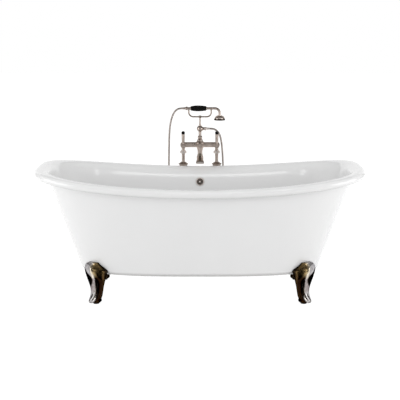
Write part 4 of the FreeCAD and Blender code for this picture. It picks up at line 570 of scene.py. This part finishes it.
# Mixer. Brass castings and turned pieces, polished and nickel plated: pillar legs with saucers,
# union nuts, the crossbar body with its levers, the spout, and the riser with its cradle. The
# plating is painted lightest on the nuts and the spout's lip, and darkest on the cradle, as
# painted light and shade. Backnuts and valves stay plain machined brass.
# Lighter and darker painted copies of the same nickel, for how light falls: painted lighter on the
# mixer body and the levers' caps, the spout and the rose, and painted darker on the cradle.
body_nickel = nickel_finish("body_nickel", (0.55, 0.465, 0.415), (0.74, 0.64, 0.58))[0]
darker_painted_nickel = nickel_finish("darker_painted_nickel", (0.36, 0.30, 0.26), (0.50, 0.425, 0.375))[0]
spout_parts = nickel_finish("spout_nickel", (0.80, 0.72, 0.665), (0.92, 0.85, 0.80))
# Painted highlight on the spout's lip and painted shade above it: the colour is full below 0.638 m
# and darkened to 0.66 above 0.643 m.
shaded(*spout_parts, height_share(spout_parts[0], 0.627, 0.652),
       [(0.45, (1, 1, 1)), (0.62, (0.66, 0.62, 0.58))])
dress(nickel, "left_pillar", "left_pillar_flange", "right_pillar", "right_pillar_flange",
      "left_lever", "right_lever", "diverter_lever", "riser_collar", "riser")
dress(lighter_painted_nickel, "left_union_nut", "right_union_nut")
dress(body_nickel, "mixer_body", "left_lever_cap", "right_lever_cap")
dress(darker_painted_nickel, "cradle")
dress(spout_parts[0], "spout")

brass, brass_shader = new_finish("machined_brass", (0.66, 0.50, 0.24), 0.28, metallic=1.0)
swarf = mottle(brass, 350.0)
graded(brass, swarf, brass_shader.inputs["Base Color"],
       [(0.3, (0.56, 0.41, 0.18)), (0.7, (0.72, 0.56, 0.29))])
spread(brass, swarf, brass_shader.inputs["Roughness"], 0.2, 0.38)
dress(brass, "backnuts", "left_valve_cartridge", "right_valve_cartridge", "diverter_cartridge")

# Lever tips and the handset's grip: black phenolic, turned and polished. The diverter's tip is
# darkened bronze.
phenolic, phenolic_shader = new_finish("black_phenolic", (0.010, 0.010, 0.011), 0.22)
speck = mottle(phenolic, 500.0)
graded(phenolic, speck, phenolic_shader.inputs["Base Color"],
       [(0.3, (0.002, 0.002, 0.002)), (0.7, (0.006, 0.0055, 0.0055))])
spread(phenolic, speck, phenolic_shader.inputs["Roughness"], 0.18, 0.32)
phenolic_shader.inputs["Specular IOR Level"].default_value = 0.12
dress(phenolic, "left_lever_tip", "right_lever_tip", "handset_grip")

bronze, bronze_shader = new_finish("darkened_bronze", (0.24, 0.20, 0.16), 0.3, metallic=1.0)
smut = mottle(bronze, 300.0)
graded(bronze, smut, bronze_shader.inputs["Base Color"],
       [(0.3, (0.17, 0.145, 0.115)), (0.7, (0.32, 0.275, 0.225))])
dress(bronze, "diverter_tip")

# Handset. A bent nickel-plated tube with a spun bell rose, painted dark on its rim and underside
# as shade, two ferrules beside the grip, and the coned nuts and crimped ferrules that hold the
# hose.
# The rose is a lighter painted copy of the nickel, and below 0.856 m its colour is painted near
# black as shade on the rim and underside; above 0.859 m it is full.
rose_parts = nickel_finish("rose_nickel", (0.74, 0.65, 0.59), (0.88, 0.79, 0.735))
shaded(*rose_parts, height_share(rose_parts[0], 0.848, 0.872),
       [(0.33, (0.05, 0.045, 0.04)), (0.46, (1, 1, 1))])
dress(rose_parts[0], "handset_rose", "rose_plate")
dress(nickel, "handset_tube", "grip_ferrules", "handset_hose_nut", "handset_hose_ferrule")
dress(lighter_painted_nickel, "outlet_hose_nut", "outlet_hose_ferrule")

# Hose. An interlocked metal strip wound round an inner liner, limp enough to hang in a loop
# behind the bath, from the riser's outlet round to the handset's tail.
hose_route = [
    (0.052, 0.330, 0.802), (0.070, 0.330, 0.802), (0.089, 0.3305, 0.793), (0.104, 0.333, 0.774),
    (0.1135, 0.338, 0.744), (0.1195, 0.346, 0.699), (0.124, 0.356, 0.637), (0.127, 0.366, 0.563),
    (0.129, 0.374, 0.484), (0.128, 0.380, 0.400), (0.108, 0.384, 0.322), (0.054, 0.386, 0.262),
    (-0.020, 0.387, 0.241), (-0.094, 0.386, 0.262), (-0.148, 0.384, 0.322), (-0.168, 0.381, 0.400),
    (-0.171, 0.377, 0.485), (-0.1705, 0.371, 0.568), (-0.169, 0.362, 0.647),
    (-0.1675, 0.3515, 0.712), (-0.1655, 0.3415, 0.767), (-0.1615, 0.335, 0.8145),
    (-0.1523, 0.331, 0.8585), (-0.1397, 0.3302, 0.888), (-0.125, 0.330, 0.9043),
    (-0.1083, 0.330, 0.911), (-0.0943, 0.330, 0.911)]
route_curve = bpy.data.curves.new("hose_line", "CURVE")
route_curve.dimensions = "3D"
route_curve.resolution_u = 48
route = route_curve.splines.new("NURBS")
route.points.add(len(hose_route) - 1)
for point, place in zip(route.points, hose_route):
    point.co = (*place, 1)
route.order_u = 3
route.use_endpoint_u = True
route_object = bpy.data.objects.new("hose_line", route_curve)
scene.collection.objects.link(route_object)
route_mesh = bpy.data.meshes.new_from_object(route_object)
hose_line = np.empty(len(route_mesh.vertices) * 3)
route_mesh.vertices.foreach_get("co", hose_line)
hose_line = hose_line.reshape(-1, 3)
bpy.data.objects.remove(route_object)
bpy.data.meshes.remove(route_mesh)


def wound_tube(line, radius, pitch, relief, around, steps):
    """A round tube along a line. Its radius dips once each pitch, as a wound strip's edges do:
    radius - relief * (1 - |sin(pi * length / pitch)|) ^ 1.5. A flat face closes each end."""
    lengths = np.concatenate([[0], np.cumsum(np.linalg.norm(np.diff(line, axis=0), axis=1))])
    count = int(lengths[-1] / pitch * steps) + 1
    at = np.linspace(0, lengths[-1], count)
    middle = np.stack([np.interp(at, lengths, line[:, axis]) for axis in range(3)], 1)
    forward = np.gradient(middle, axis=0)
    forward /= np.linalg.norm(forward, axis=1)[:, None]
    across = np.cross(forward, (0, 1, 0))
    across /= np.linalg.norm(across, axis=1)[:, None]
    lifted = np.cross(across, forward)
    size = radius - relief * (1 - np.abs(np.sin(np.pi * at / pitch))) ** 1.5
    turns = np.linspace(0, 2 * np.pi, around, endpoint=False)[None, :, None]
    points = middle[:, None] + size[:, None, None] * (
        np.cos(turns) * across[:, None] + np.sin(turns) * lifted[:, None])
    faces = ring_faces(count, around)[:, ::-1].tolist()
    faces.append(list(range(around)))
    faces.append(list(range((count - 1) * around, count * around))[::-1])
    return points, faces


steel, steel_shader = new_finish("wound_metal_strip", (0.38, 0.33, 0.30), 0.36, metallic=1.0)
wear = mottle(steel, 130.0, detail=4.0)
graded(steel, wear, steel_shader.inputs["Base Color"],
       [(0.3, (0.44, 0.39, 0.36)), (0.7, (0.58, 0.52, 0.485))])
spread(steel, wear, steel_shader.inputs["Roughness"], 0.32, 0.44)
hose_radius, strip_pitch, strip_relief = 0.0053, 0.003, 0.0005
hose_points, hose_faces = wound_tube(hose_line, hose_radius, strip_pitch, strip_relief,
                                     around=16, steps=6)
hose = new_piece("shower_hose", hose_points, hose_faces, steel, None)
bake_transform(hose)
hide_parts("hose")

# Room. A plain white floor that keeps a faint shadow, white all round, and soft light from both
# ends. A dark panel in front and grey ones at both ends and above are there for gloss and metal
# to mirror; nothing else shows them.
studio = bpy.data.worlds.new("studio")
scene.world = studio
studio.use_nodes = True
studio_tree = studio.node_tree
background = studio_tree.nodes["Background"]
background.inputs["Color"].default_value = (1, 1, 1, 1)


def seen_directly(tree):
    """1 for rays that come straight from the camera, or by a mirror or through glass"""
    path = tree.nodes.new("ShaderNodeLightPath")
    first = tree.nodes.new("ShaderNodeMath")
    first.operation = "MAXIMUM"
    second = tree.nodes.new("ShaderNodeMath")
    second.operation = "MAXIMUM"
    tree.links.new(path.outputs["Is Camera Ray"], first.inputs[0])
    tree.links.new(path.outputs["Is Glossy Ray"], first.inputs[1])
    tree.links.new(first.outputs["Value"], second.inputs[0])
    tree.links.new(path.outputs["Is Transmission Ray"], second.inputs[1])
    return second.outputs["Value"]


strength = studio_tree.nodes.new("ShaderNodeMapRange")
strength.inputs["To Min"].default_value = 0.72
strength.inputs["To Max"].default_value = 1.0
studio_tree.links.new(seen_directly(studio_tree), strength.inputs["Value"])
studio_tree.links.new(strength.outputs["Result"], background.inputs["Strength"])


def flat_panel(name, corners, finish):
    """A single face of the room, with one finish"""
    mesh = bpy.data.meshes.new(name)
    mesh.from_pydata(corners, [], [list(range(len(corners)))])
    mesh.materials.append(finish)
    panel = bpy.data.objects.new(name, mesh)
    scene.collection.objects.link(panel)
    return panel


floor_finish = bpy.data.materials.new("white_floor")
floor_finish.use_nodes = True
floor_tree = floor_finish.node_tree
floor_tree.nodes.clear()
floor_out = floor_tree.nodes.new("ShaderNodeOutputMaterial")
floor_mix = floor_tree.nodes.new("ShaderNodeMixShader")
floor_sum = floor_tree.nodes.new("ShaderNodeAddShader")
floor_glow = floor_tree.nodes.new("ShaderNodeEmission")
floor_glow.inputs["Strength"].default_value = 0.97
floor_dim = floor_tree.nodes.new("ShaderNodeBsdfDiffuse")
floor_dim.inputs["Color"].default_value = (0.2, 0.2, 0.2, 1)
floor_plain = floor_tree.nodes.new("ShaderNodeBsdfDiffuse")
floor_plain.inputs["Color"].default_value = (0.66, 0.66, 0.66, 1)
floor_tree.links.new(floor_glow.outputs["Emission"], floor_sum.inputs[0])
floor_tree.links.new(floor_dim.outputs["BSDF"], floor_sum.inputs[1])
floor_tree.links.new(seen_directly(floor_tree), floor_mix.inputs["Fac"])
floor_tree.links.new(floor_plain.outputs["BSDF"], floor_mix.inputs[1])
floor_tree.links.new(floor_sum.outputs["Shader"], floor_mix.inputs[2])
floor_tree.links.new(floor_mix.outputs["Shader"], floor_out.inputs["Surface"])
floor_half = 15
flat_panel("studio_floor", [(-floor_half, -floor_half, 0), (floor_half, -floor_half, 0),
                            (floor_half, floor_half, 0), (-floor_half, floor_half, 0)],
           floor_finish)

dark_finish = new_finish("dark_panel", (0.030, 0.022, 0.015), 0.9)[0]
grey_finish = new_finish("grey_panel", (0.16, 0.15, 0.14), 0.9)[0]
end, front, back, top = 5, -8, 5, 5
for panel_name, corners, finish in (
        ("front_panel", [(-end, front, 0), (end, front, 0), (end, front, top),
                         (-end, front, top)], dark_finish),
        ("left_panel", [(-end, front, 0), (-end, front, top), (-end, back, top),
                        (-end, back, 0)], grey_finish),
        ("right_panel", [(end, front, 0), (end, back, 0), (end, back, top),
                         (end, front, top)], grey_finish),
        ("top_panel", [(-end, front, top), (end, front, top), (end, back, top),
                       (-end, back, top)], grey_finish)):
    panel = flat_panel(panel_name, corners, finish)
    panel.visible_camera = False
    panel.visible_diffuse = False
    panel.visible_transmission = False
    panel.visible_shadow = False


def soft_box(name, place, aim, width, height, power):
    """A rectangular light that faces the point it aims at"""
    lamp = bpy.data.lights.new(name, "AREA")
    lamp.shape = "RECTANGLE"
    lamp.size = width
    lamp.size_y = height
    lamp.energy = power
    box = bpy.data.objects.new(name, lamp)
    box.location = place
    direction = np.array(aim, float) - np.array(place, float)
    box.rotation_euler = (math.atan2(math.hypot(direction[0], direction[1]), -direction[2]), 0,
                          math.atan2(direction[1], direction[0]) - math.pi / 2)
    scene.collection.objects.link(box)
    return box


for light_name, side in (("left_light", -1), ("right_light", 1)):
    soft_box(light_name, (side * 3.75, -1.75, 1.3), (0, 0, 0.45), width=3.0, height=2.4, power=67)
# Overhead boxes that only mirrors show: a long one lies as a pale band on the middle of the back
# wall, and two narrow ones stand as pale wedges beside it.
for box_name, across, width, depth, power in (("overhead_light", 0, 0.62, 0.8, 3.8),
                                              ("left_strip", -0.87, 0.17, 1.15, 2.0),
                                              ("right_strip", 0.87, 0.17, 1.15, 2.0)):
    overhead = soft_box(box_name, (across, -2.3, 2.6), (across, 0.2, 0.55), width, depth, power)
    overhead.visible_diffuse = False

# Camera. A long lens, square to the front, that looks a little down on the rim.
camera_data = bpy.data.cameras.new("front_camera")
camera_data.sensor_width = 36
camera_data.lens = 79.2
camera = bpy.data.objects.new("front_camera", camera_data)
camera.location = (0, -4.368, 1.4459)
camera.rotation_euler = (math.radians(77.56), 0, 0)
scene.collection.objects.link(camera)
scene.camera = camera

scene.view_settings.view_transform = "Standard"
